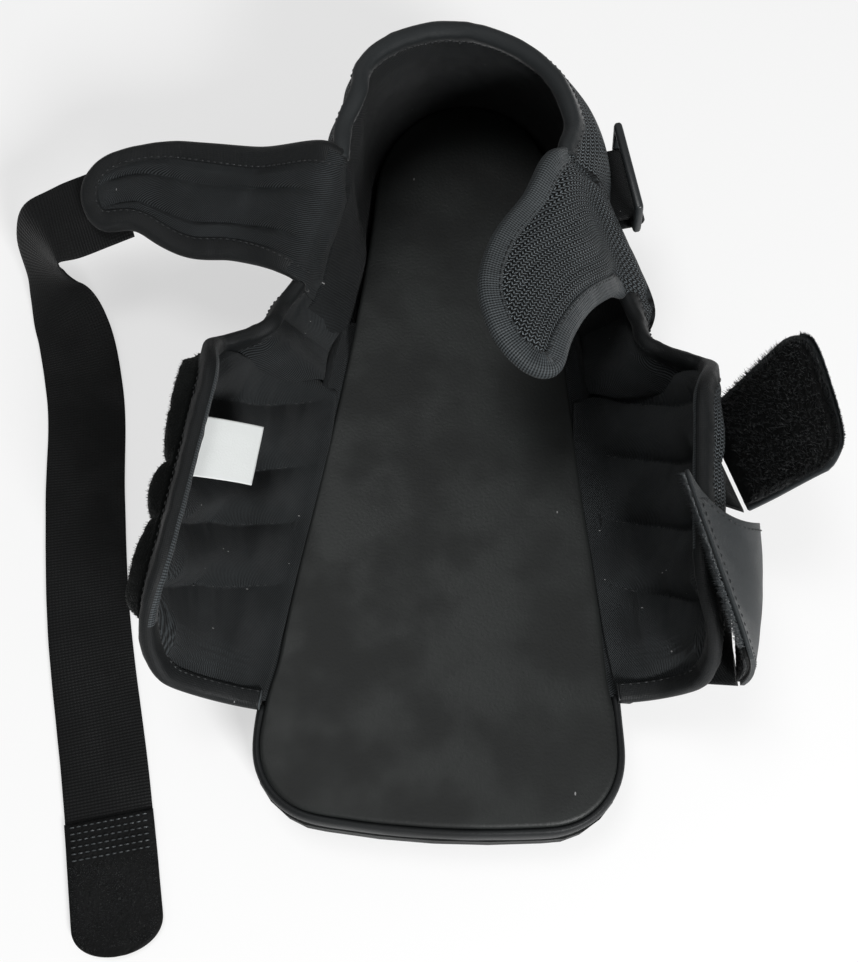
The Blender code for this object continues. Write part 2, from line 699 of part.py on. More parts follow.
def ankle_wing(side):
    bottom, top = crease(side)
    along = (top - bottom).normalized()
    axis = (bottom + along * CREASE_END_INSET, top - along * CREASE_END_INSET)
    edges = RIGHT_ANKLE_EDGES if side > 0 else LEFT_ANKLE_EDGES
    pairs = [(Vector(a), Vector(b)) for a, b in edges]
    root = []
    near = []
    for start, end in zip(axis, pairs[0]):
        root.append(mix(start, end, CREASE_START / (end - start).length))
        near.append(mix(start, end, PINCH_LENGTH / (end - start).length))
    pairs = [tuple(root), tuple(near)] + pairs
    middle = mix(root[0], root[1], 0.5)
    out = (pairs[-1][0] - middle).cross(along)
    if out.z * side < 0:
        out = -out
    out.normalize()
    columns = []
    for (a, b), lift in zip(pairs, ANKLE_CAMBERS):
        columns.append([mix(a, b, row) + out * (ANKLE_CAMBER * lift * 4 * row * (1 - row))
                        for row in ANKLE_ROWS])
    pinch = [[CREASE_PINCH] * len(ANKLE_ROWS)]
    pinch += [[1.0] * len(ANKLE_ROWS) for _ in columns[1:-1]]
    pinch.append([ANKLE_TIP_PINCH] * len(ANKLE_ROWS))
    return Wall(columns, lambda p: out, pinch)


def build_ankle_wing(look, prefix, side):
    wall = ankle_wing(side)
    bottom, top = crease(side)
    parent = pivot(f"{prefix}_fold", (bottom + top) / 2)
    last = len(wall.columns) - 1
    rows = list(range(len(ANKLE_ROWS)))
    every = list(range(last + 1))
    layer(f"{prefix}_shell", wall, every, rows, SHELL, look["mesh"], parent)
    layer(f"{prefix}_lining", wall, every, rows, LINING, look["lining"], parent)
    for k, (low, high) in enumerate(ANKLE_PADS):
        us = [ANKLE_PAD_START] + every[2:-1]
        build_ankle_pad(f"{prefix}_pad_{k + 1}", wall, us, low, high, look, parent)
    edge = [(u, 0) for u in every] + [(last, v) for v in rows[1:-1]]
    edge += [(u, rows[-1]) for u in reversed(every)]
    binding(f"{prefix}_binding", wall, edge, look["binding"], parent)
    return wall


def build_ankle_pad(name, wall, us, low, high, look, parent):
    """A lengthwise foam strip between two seams."""
    columns = []
    for u in us:
        edges = wall.at(u, low, 0), wall.at(u, high, 0)
        columns.append([mix(*edges, share) for share in ANKLE_PAD_ROWS])
    strip = Wall(columns, lambda p: wall.normal(2, 3))
    layer(name, strip, list(range(len(us))), list(range(len(ANKLE_PAD_ROWS))),
          (FOAM[0] + ANKLE_PAD_TRIM, FOAM[1] - ANKLE_PAD_TRIM), look["foam"], parent)


# ---- straps of the right instep wing ----------------------------------------------------------
# root and free end of each flap, as (y, out, rise) from the wing's hinge
UPPER_STRAP_ROOT_Y = (2.0, -40.0)
UPPER_STRAP_END = ((119.0, 15.0, 76.0), (127.0, -31.0, 76.0))
LOWER_STRAP_ROOT_Y = (-46.0, -104.0)
LOWER_STRAP_END = ((67.0, -46.0, 98.0), (88.0, -106.0, 82.0))
ANCHOR_ROWS = [2, 3, 4]
STRAP_ROWS = (0.0, 0.2, 0.4, 0.6, 0.8, 1.0)
STRAP_CORNER = 0.12       # of its length, how far a free corner is rounded back
UPPER_STRAP_BELLY = ((0.35, 2.0, 3.0), (0.7, -1.0, 3.0))    # share of the way, out, rise
LOWER_STRAP_LIFT = (4.0, 24.0)
LOWER_STRAP_TOP = (2.0, 0.7, -2.0)


def flap(roots, end, belly):
    """A strap's free leaf, as a wall with columns across its width."""
    columns = []
    steps = 4
    for i in range(steps + 1):
        share = i / steps
        root = mix(roots[0], roots[1], share)
        tip = mix(Vector(end[0]), Vector(end[1]), share)
        corner = STRAP_CORNER * (2 * share - 1) ** 4
        tip = mix(tip, root, corner)
        p1, p2 = belly(root, tip)
        columns.append([bezier(root, p1, p2, tip, row) for row in STRAP_ROWS])
    return Wall(columns, lambda p: Vector((1, 0, 0)))


def build_strap(look, name, root_y, end, belly, wing, wing_parent):
    roots = build_anchor(f"{name}_anchor", wing, root_y, look, wing_parent)
    wall = flap(roots, end, belly)
    parent = pivot(f"{name}_peel", (roots[0] + roots[1]) / 2)
    us = list(range(len(wall.columns)))
    rows = list(range(len(STRAP_ROWS)))
    half_gap = FIT_GAP / 2
    layer(f"{name}_backing", wall, us, rows, (half_gap, half_gap + STRAP_LAYER), look["backing"],
          parent)
    layer(f"{name}_hook", wall, us, rows, (-half_gap - STRAP_LAYER, -half_gap), look["hook"],
          parent)


def build_anchor(name, wing, root_y, look, parent):
    """The sewn end of a strap, flat on the wing's shell below the strap's hinge."""
    places, _ = wing_columns()
    rear, front = wing_hinge(1)
    us = []
    for y in root_y:
        place = (rear.y - y) / (rear.y - front.y) * places[-1]
        k = max(i for i, p in enumerate(places) if p <= place)
        us.append(k + (place - places[k]) / (places[k + 1] - places[k]))
    us[1] = min(us[1], len(places) - len(WING_FRONT_CORNER))
    inner = list(range(math.ceil(us[0]), math.floor(us[1]) + 1))
    outer = ON_SHELL + ANCHOR_THICKNESS
    layer(name, wing, [us[0]] + inner + [us[1]], ANCHOR_ROWS, (ON_SHELL, outer),
          look["webbing"], parent)
    a, b = [wing.at(u, ANCHOR_ROWS[-1], outer + STRAP_OFF_ANCHOR + STRAP_HALF)
            for u in (us[0], inner[-2])]
    return [mix(a, b, (y - a.y) / (b.y - a.y)) for y in root_y]


# ---- ankle strap -----------------------------------------------------------------------------
# middle of the webbing and the way its width points, from past the wing's tip to the free end
STRAP_ROUTE = (
    ((-161, 66.5, 36), (-0.60, 0.80, 0.0)),
    ((-166, 63.5, 25), (-0.74, 0.67, 0.0)),
    ((-163, 56, 13), (-0.85, 0.53, 0.0)),
    ((-155, 41, 4.5), (-0.98, 0.18, 0.0)),
    ((-147, 16, 1.1), (-0.99, -0.14, 0.0)),
    ((-139, -31, 1.1), (-0.99, -0.15, 0.0)),
    ((-131, -73, 1.1), (-0.98, -0.2, 0.0)),
    ((-114, -137, 1.1), (-0.97, -0.25, 0.0)),
    ((-101.5, -188, 1.1), (-0.97, -0.24, 0.0)),
)


def smooth_through(points, steps):
    """A Catmull-Rom curve through all the points."""
    result = []
    for i in range(len(points) - 1):
        p0 = points[max(i - 1, 0)]
        p1, p2 = points[i], points[i + 1]
        p3 = points[min(i + 2, len(points) - 1)]
        for k in range(steps):
            t = k / steps
            result.append(0.5 * (2 * p1 + (p2 - p0) * t + (2 * p0 - 5 * p1 + 4 * p2 - p3) * t**2
                                 + (3 * p1 - p0 - 3 * p2 + p3) * t**3))
    result.append(points[-1])
    return result


def ribbon(middles, widths, ends):
    """Columns of a ribbon, each three points wide; ends narrows it near its free end."""
    columns = []
    for middle, width, share in zip(middles, widths, ends):
        half = width.normalized() * (WEBBING_WIDTH / 2 * share)
        columns.append([middle - half, middle, middle + half])
    return columns


def strap_seat(wing):
    """The strap's sewn end under a wing's tip: the way out, the width and the place."""
    last = len(wing.columns) - 1
    top = wing.rows - 1
    middle = top // 2
    tip = wing.at(last, middle, WALL_HALF)
    out = (tip - wing.at(last - 1, middle, WALL_HALF)).normalized()
    width = wing.at(last, top, 0.0) - wing.at(last, 0, 0.0)
    width = (width - out * width.dot(out)).normalized()
    up = out.cross(width)
    up = up if up.z > 0 else -up
    corners = [wing.at(u, v, WALL_HALF) for u in (last - 1, last) for v in range(top + 1)]
    low = min((p - tip).dot(up) for p in corners)
    place = tip - out * STRAP_TUCK + up * (low - STRAP_DROP - WEBBING_THICKNESS / 2)
    return out, width, place


def strap_share(distance):
    """The sewn end's width, as a share of the webbing's: a half round that then widens."""
    into = STRAP_TONGUE - distance
    if into > 0:
        round_share = math.sqrt(max(0.0, 1 - (into / STRAP_TONGUE) ** 2))
        return 2 * STRAP_TONGUE / WEBBING_WIDTH * max(STRAP_BLUNT, round_share)
    return min(1.0, mix(2 * STRAP_TONGUE / WEBBING_WIDTH, 1.0, -into / STRAP_TONGUE))


def build_ankle_strap(look, wing):
    steps = 3
    out, width, place_at = strap_seat(wing)
    start = [(place_at - out * STRAP_TONGUE, width), (place_at, width),
             (place_at + out * (STRAP_TONGUE * STRAP_LEAD), width)]
    route = start + [(Vector(p), Vector(w)) for p, w in STRAP_ROUTE]
    middles = smooth_through([p for p, _ in route], steps)
    widths = smooth_through([w for _, w in route], steps)
    lengths = [0.0]
    for a, b in zip(middles, middles[1:]):
        lengths.append(lengths[-1] + (b - a).length)
    cut = lengths[-1] - HOOK_TAB_LENGTH

    def place(distance):
        k = max(i for i, d in enumerate(lengths) if d <= distance)
        k = min(k, len(middles) - 2)
        share = (distance - lengths[k]) / (lengths[k + 1] - lengths[k])
        return mix(middles[k], middles[k + 1], share), mix(widths[k], widths[k + 1], share)

    parent = pivot("ankle_strap_swing", place_at)
    half = WEBBING_THICKNESS / 2
    kept = [d for d in lengths if d < cut - FIT_GAP] + [cut]
    runs = [place(d) for d in kept]
    web = Wall(ribbon([m for m, _ in runs], [w for _, w in runs], [strap_share(d) for d in kept]),
               lambda p: Vector((0.2, 0.0, 1.0)))
    align_normals(web)
    layer("ankle_strap_webbing", web, list(range(len(runs))), [0, 1, 2], (-half, half),
          look["webbing"], parent)
    round_off = WEBBING_WIDTH * HOOK_TAB_ROUND
    tab_ends = []
    for i in range(HOOK_TAB_STEPS + 1):
        share = (i / HOOK_TAB_STEPS) ** 0.7
        tab_ends.append(mix(cut + FIT_GAP, lengths[-1], share))
    runs = [place(min(d, lengths[-1])) for d in tab_ends]
    shares = []
    for d in tab_ends:
        into = max(0.0, d - (lengths[-1] - round_off)) / round_off
        shares.append(max(HOOK_TAB_BLUNT, math.sqrt(max(0.0, 1 - into * into))))
    tab = Wall(ribbon([m for m, _ in runs], [w for _, w in runs], shares),
               lambda p: Vector((0, 0, 1)))
    layer("ankle_strap_hook_tab", tab, list(range(len(runs))), [0, 1, 2], (-half, half + HOOK_DEPTH),
          look["hook"], parent)


def align_normals(wall):
    """Keeps a twisting ribbon's normals on one side from end to end."""
    for i in range(len(wall.normals) - 2, -1, -1):
        for j in range(wall.rows):
            if wall.normals[i][j].dot(wall.normals[i + 1][j]) < 0:
                wall.normals[i][j] = -wall.normals[i][j]


# ---- keeper ring -----------------------------------------------------------------------------
def build_ring(look, wall):
    """A rectangular ring on the right side, held at its lower bar by a folded tab."""
    heel = (len(wall.columns) - 1) // 2
    rear = wall.at(heel + RING_STATIONS[0], RING_ROW, WALL_HALF)
    front = wall.at(heel + RING_STATIONS[1], RING_ROW, WALL_HALF)
    centre = heel + (RING_STATIONS[0] + RING_STATIONS[1]) / 2
    along = (front - rear).normalized()
    along.z = 0
    along.normalize()
    out = wall.normal(centre, RING_ROW)
    out = (out - along * out.dot(along)).normalized()
    up = along.cross(out)
    up = up if up.z > 0 else -up
    middle = wall.at(centre, RING_ROW, WALL_HALF) + out * (RING_STANDOFF + RING_BAR / 2)
    lean = math.radians(RING_LEAN)
    rise = (up * math.cos(lean) + out * math.sin(lean)).normalized()
    face = along.cross(rise).normalized()
    parent = pivot("strap_ring_pivot", middle)
    bm = bmesh.new()
    frame = []
    for inset in (0.0, RING_BAR):
        x = RING_LENGTH / 2 - inset
        low = -RING_BAR / 2 + inset
        high = RING_HEIGHT - RING_BAR / 2 - inset
        frame.append([(-x, low), (x, low), (x, high), (-x, high)])
    sides = []
    for depth in (-RING_BAR / 2, RING_BAR / 2):
        sides.append([[bm.verts.new(middle + along * a + rise * b + face * depth)
                       for a, b in ring] for ring in frame])
    for k in range(4):
        n = (k + 1) % 4
        (outer_a, inner_a), (outer_b, inner_b) = sides
        bm.faces.new((outer_a[k], outer_a[n], inner_a[n], inner_a[k]))
        bm.faces.new((outer_b[k], outer_b[n], inner_b[n], inner_b[k]))
        bm.faces.new((outer_a[k], outer_a[n], outer_b[n], outer_b[k]))
        bm.faces.new((inner_a[k], inner_a[n], inner_b[n], inner_b[k]))
    finish("strap_ring", bm, look["plastic"], parent, smooth=False)
    build_ring_tab(look, middle, along, out, up)


def build_ring_tab(look, middle, along, out, up):
    """A strip sewn below the ring and folded once round its lower bar."""
    inner = RING_BAR * 0.5 * math.sqrt(2) + FIT_GAP
    outer = inner + TAB_THICKNESS
    back = -(RING_STANDOFF + RING_BAR / 2) + FIT_GAP
    steps = 10
    bm = bmesh.new()
    rings = []
    for end in (-TAB_WIDTH / 2, TAB_WIDTH / 2):
        outer_ring = []
        inner_ring = []
        for i in range(steps):
            angle = 2 * math.pi * i / steps
            reach = Vector((math.cos(angle), math.sin(angle)))
            outer_ring.append((max(reach.x * outer, back), reach.y * outer))
            inner_ring.append((reach.x * inner, reach.y * inner))
        rings.append([[bm.verts.new(middle + along * end + out * a + up * b) for a, b in ring]
                      for ring in (outer_ring, inner_ring)])
    (oa, ia), (ob, ib) = rings
    for k in range(steps):
        n = (k + 1) % steps
        bm.faces.new((oa[k], oa[n], ia[n], ia[k]))
        bm.faces.new((ob[k], ob[n], ib[n], ib[k]))
        bm.faces.new((oa[k], oa[n], ob[n], ob[k]))
        bm.faces.new((ia[k], ia[n], ib[n], ib[k]))
    return finish("ring_tab", bm, look["webbing"])


# ---- assembly --------------------------------------------------------------------------------
def upper_belly(root, tip):
    """Pull points of a leaf that leans straight out."""
    return [mix(root, tip, share) + Vector((out, 0, rise)) for share, out, rise in UPPER_STRAP_BELLY]


def lower_belly(root, tip):
    """Pull points of a leaf that rises first and then curls inwards."""
    out, rise = LOWER_STRAP_LIFT
    top_out, share, top_rise = LOWER_STRAP_TOP
    high = Vector((root.x + top_out, mix(root.y, tip.y, share), tip.z + top_rise))
    return root + Vector((out, 0, rise)), high


def main():
    clear_scene()
    look = looks()
    build_sole(look)
    collar = build_fixed_upper(look)
    build_ring(look, collar)
    left, left_parent = build_instep_wing(look, "left_instep", -1)
    build_loop_panel(look, left, left_parent)
    build_label(look, left, left_parent)
    right, right_parent = build_instep_wing(look, "right_instep", 1)
    build_strap(look, "upper_strap", UPPER_STRAP_ROOT_Y, UPPER_STRAP_END, upper_belly, right,
                right_parent)
    build_strap(look, "lower_strap", LOWER_STRAP_ROOT_Y, LOWER_STRAP_END, lower_belly, right,
                right_parent)
    left_ankle = build_ankle_wing(look, "left_ankle", -1)
    build_ankle_wing(look, "right_ankle", 1)
    build_ankle_strap(look, left_ankle)


main()
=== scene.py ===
# %% [markdown]
# # A strap-on foot guard
# The guard is a soft, open-toed shoe. A padded collar holds the heel, two padded wings fold over the
# instep, two smaller wings fold over the ankle, and three straps close it.
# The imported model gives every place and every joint. This script builds the cloth, foam, tape and
# moulded pieces that are seen on top of it.

# %% Load the frame
import json
import math

import bmesh
import bpy
import numpy as np
from mathutils import Matrix, Vector


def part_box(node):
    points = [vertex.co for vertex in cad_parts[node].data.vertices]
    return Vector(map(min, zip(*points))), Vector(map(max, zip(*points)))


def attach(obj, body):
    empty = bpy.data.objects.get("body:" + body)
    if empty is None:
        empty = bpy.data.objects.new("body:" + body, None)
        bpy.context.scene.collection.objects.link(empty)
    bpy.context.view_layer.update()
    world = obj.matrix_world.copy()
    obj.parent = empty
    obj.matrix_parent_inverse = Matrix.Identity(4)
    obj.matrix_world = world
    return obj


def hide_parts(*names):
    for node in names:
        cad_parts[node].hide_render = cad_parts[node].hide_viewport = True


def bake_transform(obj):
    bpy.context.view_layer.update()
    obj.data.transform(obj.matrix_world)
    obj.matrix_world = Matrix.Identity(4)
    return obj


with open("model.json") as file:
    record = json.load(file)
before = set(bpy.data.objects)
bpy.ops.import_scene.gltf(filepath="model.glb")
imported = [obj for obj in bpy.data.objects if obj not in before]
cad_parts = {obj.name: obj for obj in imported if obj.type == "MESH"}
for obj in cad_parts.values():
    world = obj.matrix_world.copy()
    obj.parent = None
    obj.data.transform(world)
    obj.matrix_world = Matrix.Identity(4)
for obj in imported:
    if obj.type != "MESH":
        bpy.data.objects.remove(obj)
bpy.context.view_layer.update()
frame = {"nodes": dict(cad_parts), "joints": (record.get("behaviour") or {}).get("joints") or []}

MM = 0.001
SIDES = {-1: "left", 1: "right"}
joints = {joint["name"]: joint for joint in frame["joints"]}

# %% [markdown]
# ## Camera, floor and light
# The guard stands on a pale floor and is looked down on, from beyond its toe end. A long way up and a
# little to one side keeps the far heel small, as a person bending over the shoe would see it.
# One large soft lamp from the right and the front lights the inside of the left wing and leaves the
# inside of the right wing dark. A white surrounding fills the shadows.

# %% Camera
CAMERA_TARGET = Vector((-0.0085, -0.015, 0.0))
CAMERA_DISTANCE = 0.443
CAMERA_ELEVATION = math.radians(68)
CAMERA_TURN = math.radians(3)
CAMERA_LENS = 43.0        # on a 36 mm sensor, along the longer side

forward = Vector((
    -math.sin(CAMERA_TURN) * math.cos(CAMERA_ELEVATION),
    math.cos(CAMERA_TURN) * math.cos(CAMERA_ELEVATION),
    -math.sin(CAMERA_ELEVATION),
))
camera_data = bpy.data.cameras.new("camera")
camera_data.lens = CAMERA_LENS
camera_data.clip_start = 0.01
camera = bpy.data.objects.new("camera", camera_data)
camera.location = CAMERA_TARGET - forward * CAMERA_DISTANCE
camera.rotation_euler = forward.to_track_quat("-Z", "Y").to_euler()
bpy.context.scene.collection.objects.link(camera)
bpy.context.scene.camera = camera
bpy.context.scene.view_settings.view_transform = "Standard"

# %% Small tools for node trees
def feed(tree, socket, value):
    """Gives a socket a value, or a link from another socket."""
    if isinstance(value, bpy.types.NodeSocket):
        tree.links.new(value, socket)
    else:
        socket.default_value = value


def node(tree, kind, inputs=None, **settings):
    """Adds a node. Inputs are named or numbered sockets, each given a value or another socket."""
    made = tree.nodes.new(kind)
    for name, value in settings.items():
        setattr(made, name, value)
    for name, value in (inputs or {}).items():
        feed(tree, made.inputs[name], value)
    return made


def maths(tree, operation, *values):
    """One Math node's result."""
    return node(tree, "ShaderNodeMath", dict(enumerate(values)), operation=operation).outputs[0]


def remap(tree, value, low, high, to_low=0.0, to_high=1.0):
    """A value's range, moved smoothly onto another range."""
    made = node(tree, "ShaderNodeMapRange", {
        "Value": value, "From Min": low, "From Max": high, "To Min": to_low, "To Max": to_high,
    }, interpolation_type="SMOOTHSTEP")
    return made.outputs[0]


def blend_colour(tree, share, first, second):
    """The second colour over the first, by a share."""
    made = node(tree, "ShaderNodeMix", data_type="RGBA")
    sockets = [made.inputs[0]] + [socket for socket in made.inputs if socket.type == "RGBA"]
    for socket, value in zip(sockets, (share, first, second)):
        feed(tree, socket, value)
    return [socket for socket in made.outputs if socket.type == "RGBA"][0]


# %% Floor, surrounding and lamps
FLOOR_SIZE = 6.0
SURROUND_STRENGTH = 0.22
LAMPS = (
    # name, place, size, power
    ("key_lamp", (0.66, -1.08, 0.85), 0.40, 25.0),
    ("top_lamp", (-0.30, 0.20, 1.4), 0.5, 6.0),
)

scene = bpy.context.scene
scene.world = bpy.data.worlds.new("surround")
scene.world.use_nodes = True
world = scene.world.node_tree
world.nodes.clear()
seen = node(world, "ShaderNodeLightPath").outputs["Is Camera Ray"]
strength = remap(world, seen, 0.0, 1.0, SURROUND_STRENGTH, 1.0)
sky = node(world, "ShaderNodeBackground", {"Color": (1, 1, 1, 1), "Strength": strength})
node(world, "ShaderNodeOutputWorld", {"Surface": sky.outputs[0]})

bpy.ops.mesh.primitive_plane_add(size=FLOOR_SIZE, location=(0, 0, -0.0004))
floor = bpy.context.object
floor.name = "floor"
floor_look = bpy.data.materials.new("floor_paper")
floor_look.use_nodes = True
tree = floor_look.node_tree
tree.nodes.clear()
seen = node(tree, "ShaderNodeLightPath").outputs["Is Camera Ray"]
paper = node(tree, "ShaderNodeBsdfDiffuse", {"Color": (0.82, 0.82, 0.82, 1)})
glow = node(tree, "ShaderNodeEmission", {"Color": (1, 1, 1, 1), "Strength": 1.0})
mixed = node(tree, "ShaderNodeMixShader", {
    0: maths(tree, "MULTIPLY", seen, 0.6), 1: paper.outputs[0], 2: glow.outputs[0],
})
node(tree, "ShaderNodeOutputMaterial", {"Surface": mixed.outputs[0]})
floor.data.materials.append(floor_look)

for name, place, size, power in LAMPS:
    lamp_data = bpy.data.lights.new(name, "AREA")
    lamp_data.size = size
    lamp_data.energy = power
    lamp = bpy.data.objects.new(name, lamp_data)
    lamp.location = place
    lamp.rotation_euler = (-Vector(place)).to_track_quat("-Z", "Y").to_euler()
    scene.collection.objects.link(lamp)

# %% [markdown]
# ## Shared effects
# Nearly every piece is black cloth, so the cloths have to differ in how they catch the light. Each
# effect below is a node group that is built once and reads a flat pattern in metres, so that a weave
# keeps its real pitch and runs round a curve with the cloth.

# %% Node groups for weave, mesh, rib and lint
def new_group(name, inputs, outputs):
    """An empty node group that reads a pattern. Its other inputs and its outputs are numbers."""
    group = bpy.data.node_groups.new(name, "ShaderNodeTree")
    group.interface.new_socket("Pattern", in_out="INPUT", socket_type="NodeSocketVector")
    for title, value in inputs.items():
        socket = group.interface.new_socket(title, in_out="INPUT", socket_type="NodeSocketFloat")
        socket.default_value = value
    for title in outputs:
        group.interface.new_socket(title, in_out="OUTPUT", socket_type="NodeSocketFloat")
    return group, group.nodes.new("NodeGroupInput"), group.nodes.new("NodeGroupOutput")


def wave(group, value, shift=0.0):
    """A smooth wave from 0 to 1, once for each whole number."""
    turned = maths(group, "MULTIPLY_ADD", value, 2 * math.pi, shift)
    return maths(group, "MULTIPLY_ADD", maths(group, "SINE", turned), 0.5, 0.5)


def twill(group, pattern, x, y):
    """Fine slanting ribs, broken up by the cross yarns."""
    wobble = node(group, "ShaderNodeTexNoise", {"Vector": pattern, "Scale": 260.0})
    slant = maths(group, "ADD", maths(group, "ADD", x, y),
                  maths(group, "MULTIPLY", wobble.outputs[0], 0.35))
    cross = wave(group, maths(group, "SUBTRACT", maths(group, "MULTIPLY", x, 1.6), y))
    height = maths(group, "MULTIPLY", wave(group, slant),
                   maths(group, "MULTIPLY_ADD", cross, 0.45, 0.55))
    return height, height


def air_mesh(group, pattern, x, y):
    """Rows of yarn loops round open holes, every second row moved half a cell."""
    y = maths(group, "MULTIPLY", y, 1.35)
    zigzag = maths(group, "MULTIPLY_ADD", wave(group, maths(group, "MULTIPLY", y, 0.5)), 0.55, x)
    steps = wave(group, y, math.pi / 2)
    height = maths(group, "MULTIPLY", wave(group, zigzag),
                   maths(group, "MULTIPLY_ADD", steps, 0.6, 0.4))
    return height, remap(group, height, 0.3, 0.62)


def ribs(group, pattern, x, y):
    """Straight ribs across the pattern's length."""
    knots = wave(group, maths(group, "MULTIPLY", y, 0.9))
    height = maths(group, "MULTIPLY_ADD", knots, 0.3, maths(group, "MULTIPLY", wave(group, x), 0.7))
    return height, height


def weave_group(build):
    """A weave as a node group. From the pattern and its two coordinates, counted in pitches, build
    makes the weave's height and the mask of its yarns."""
    group, source, result = new_group(build.__name__, {"Pitch": 0.001}, ("Height", "Yarn"))
    pattern, pitch = source.outputs["Pattern"], source.outputs["Pitch"]
    split = node(group, "ShaderNodeSeparateXYZ", {0: pattern})
    x, y = [maths(group, "DIVIDE", split.outputs[k], pitch) for k in (0, 1)]
    height, yarn = build(group, pattern, x, y)
    feed(group, result.inputs["Height"], height)
    feed(group, result.inputs["Yarn"], yarn)
    return group


def lint_group():
    """Tiny pale fibres caught on the cloth, and the slow change of tone that handling leaves."""
    group, source, result = new_group("lint", {"Spacing": 0.006, "Amount": 0.35},
                                      ("Lint", "Mottle"))
    pattern = source.outputs["Pattern"]
    stretch = node(group, "ShaderNodeMapping", {0: pattern, "Scale": (1.0, 0.45, 1.0)})
    dots = node(group, "ShaderNodeTexVoronoi", {
        "Vector": stretch.outputs[0],
        "Scale": maths(group, "DIVIDE", 1.0, source.outputs["Spacing"]),
    })
    small = maths(group, "LESS_THAN", dots.outputs["Distance"], 0.075)
    pick = node(group, "ShaderNodeSeparateXYZ", {0: dots.outputs["Color"]})
    chosen = maths(group, "LESS_THAN", pick.outputs[0], source.outputs["Amount"])
    feed(group, result.inputs["Lint"], maths(group, "MULTIPLY", small, chosen))
    slow = node(group, "ShaderNodeTexNoise", {"Vector": pattern, "Scale": 38.0, "Detail": 3.0})
    feed(group, result.inputs["Mottle"], remap(group, slow.outputs[0], 0.35, 0.68))
    return group


TWILL, AIR_MESH, RIBS = [weave_group(build) for build in (twill, air_mesh, ribs)]
LINT = lint_group()
print("node groups:", [group.name for group in bpy.data.node_groups])

# %% [markdown]
# ## Finishes
# One function starts every finish: it makes the shader, the pattern input and the lint. Each finish
# then says what its own surface does. The plain numbers, such as sheen, sit on the shader itself.

# %% How a finish is started
PATTERN = "pattern"       # the flat-pattern map of every cloth piece, in metres


def rgb(grey, tint=(1.0, 1.0, 1.0)):
    return (grey * tint[0], grey * tint[1], grey * tint[2], 1.0)


SHEEN_SPREAD = 0.35
SLATE = (0.9, 1.03, 1.1)
GREENISH = (0.92, 1.06, 1.02)


def start_finish(name, on_pattern, lint, spacing, sheen, specular):
    """A new material with its shader, the place that its textures read, and its lint."""
    look = bpy.data.materials.new(name)
    look.use_nodes = True
    tree = look.node_tree
    shader = tree.nodes["Principled BSDF"]
    shader.inputs["Sheen Weight"].default_value = sheen
    shader.inputs["Sheen Roughness"].default_value = SHEEN_SPREAD
    shader.inputs["Specular IOR Level"].default_value = specular
    if on_pattern:
        place = node(tree, "ShaderNodeUVMap", uv_map=PATTERN).outputs[0]
    else:
        place = node(tree, "ShaderNodeTexCoord").outputs["Object"]
    specks = put_group(tree, LINT, Pattern=place, Amount=lint, Spacing=spacing)
    return look, tree, shader, place, specks


def put_group(tree, group, **inputs):
    """Adds a shared group and gives its outputs."""
    made = tree.nodes.new("ShaderNodeGroup")
    made.node_tree = group
    for title, value in inputs.items():
        feed(tree, made.inputs[title], value)
    return made.outputs


def set_tone(tree, shader, specks, tone, dust, dust_grey, rough, polish):
    """Lays the lint over a tone, and makes the worn places a little smoother."""
    dusty = blend_colour(tree, maths(tree, "MULTIPLY", specks["Lint"], dust), tone, rgb(dust_grey))
    feed(tree, shader.inputs["Base Color"], dusty)
    feed(tree, shader.inputs["Roughness"],
         remap(tree, specks["Mottle"], 0.0, 1.0, rough, rough - polish))


def set_bump(tree, shader, height, distance, under=None):
    """Feeds a height into the shader's normal; under is another bump's normal below it."""
    made = node(tree, "ShaderNodeBump", {"Height": height, "Distance": distance, "Strength": 1.0})
    if under is not None:
        tree.links.new(under, made.inputs["Normal"])
    tree.links.new(made.outputs[0], shader.inputs["Normal"])
    return made.outputs[0]


def cloth_finish(name, weave, pitch, dark, light, sheen, rough, depth, lint=0.3, wear=0.3):
    """A woven or knitted cloth: dark between its yarns, light on them, with a little lint."""
    look, tree, shader, place, specks = start_finish(name, True, lint, 0.003, sheen, 0.2)
    woven = put_group(tree, weave, Pattern=place, Pitch=pitch)
    faded = maths(tree, "MULTIPLY_ADD", specks["Mottle"], wear, 1 - wear)
    tone = blend_colour(tree, maths(tree, "MULTIPLY", woven["Yarn"], faded),
                        rgb(dark, SLATE), rgb(light, SLATE))
    set_tone(tree, shader, specks, tone, 0.6, 0.35, rough, 0.12)
    fuzz = node(tree, "ShaderNodeTexNoise", {"Vector": place, "Scale": 2600.0, "Detail": 2.0})
    under = set_bump(tree, shader, fuzz.outputs[0], 0.00012)
    set_bump(tree, shader, woven["Height"], depth, under=under)
    return look


# %% The cloths
# name, weave, its pitch, tone between and on the yarns, sheen, roughness, depth, lint, wear
lining = cloth_finish("brushed_twill", TWILL, 0.0008, 0.0001, 0.052, 0.03, 0.85, 0.0003, 0.25)
# The collar's lining is the same twill in a darker tone: painted shade for the shadowed inside of the
# heel.
heel_lining_painted_shade = cloth_finish("heel_twill_painted_shade", TWILL, 0.0008, 0.0004, 0.031, 0.03, 0.85, 0.0003, 0.25)
mesh_cloth = cloth_finish("air_mesh", AIR_MESH, 0.00138, 0.0003, 0.16, 0.0, 0.6, 0.0008, 0.05, 0.15)
knit_tape = cloth_finish("knit_tape", RIBS, 0.0009, 0.001, 0.085, 0.08, 0.6, 0.00025, 0.1, 0.2)
smooth_tape = cloth_finish("smooth_tape", RIBS, 0.00045, 0.010, 0.024, 0.16, 0.6, 0.00006, 0.05)
dark_tape = cloth_finish("dark_tape", RIBS, 0.0006, 0.003, 0.012, 0.06, 0.6, 0.00008, 0.05)
strap_cloth = cloth_finish("strap_backing", RIBS, 0.0005, 0.021, 0.031, 0.1, 0.6, 0.00006, 0.1)
webbing_cloth = cloth_finish("elastic_webbing", RIBS, 0.0011, 0.001, 0.0045, 0.04, 0.75, 0.0002, 0.0)
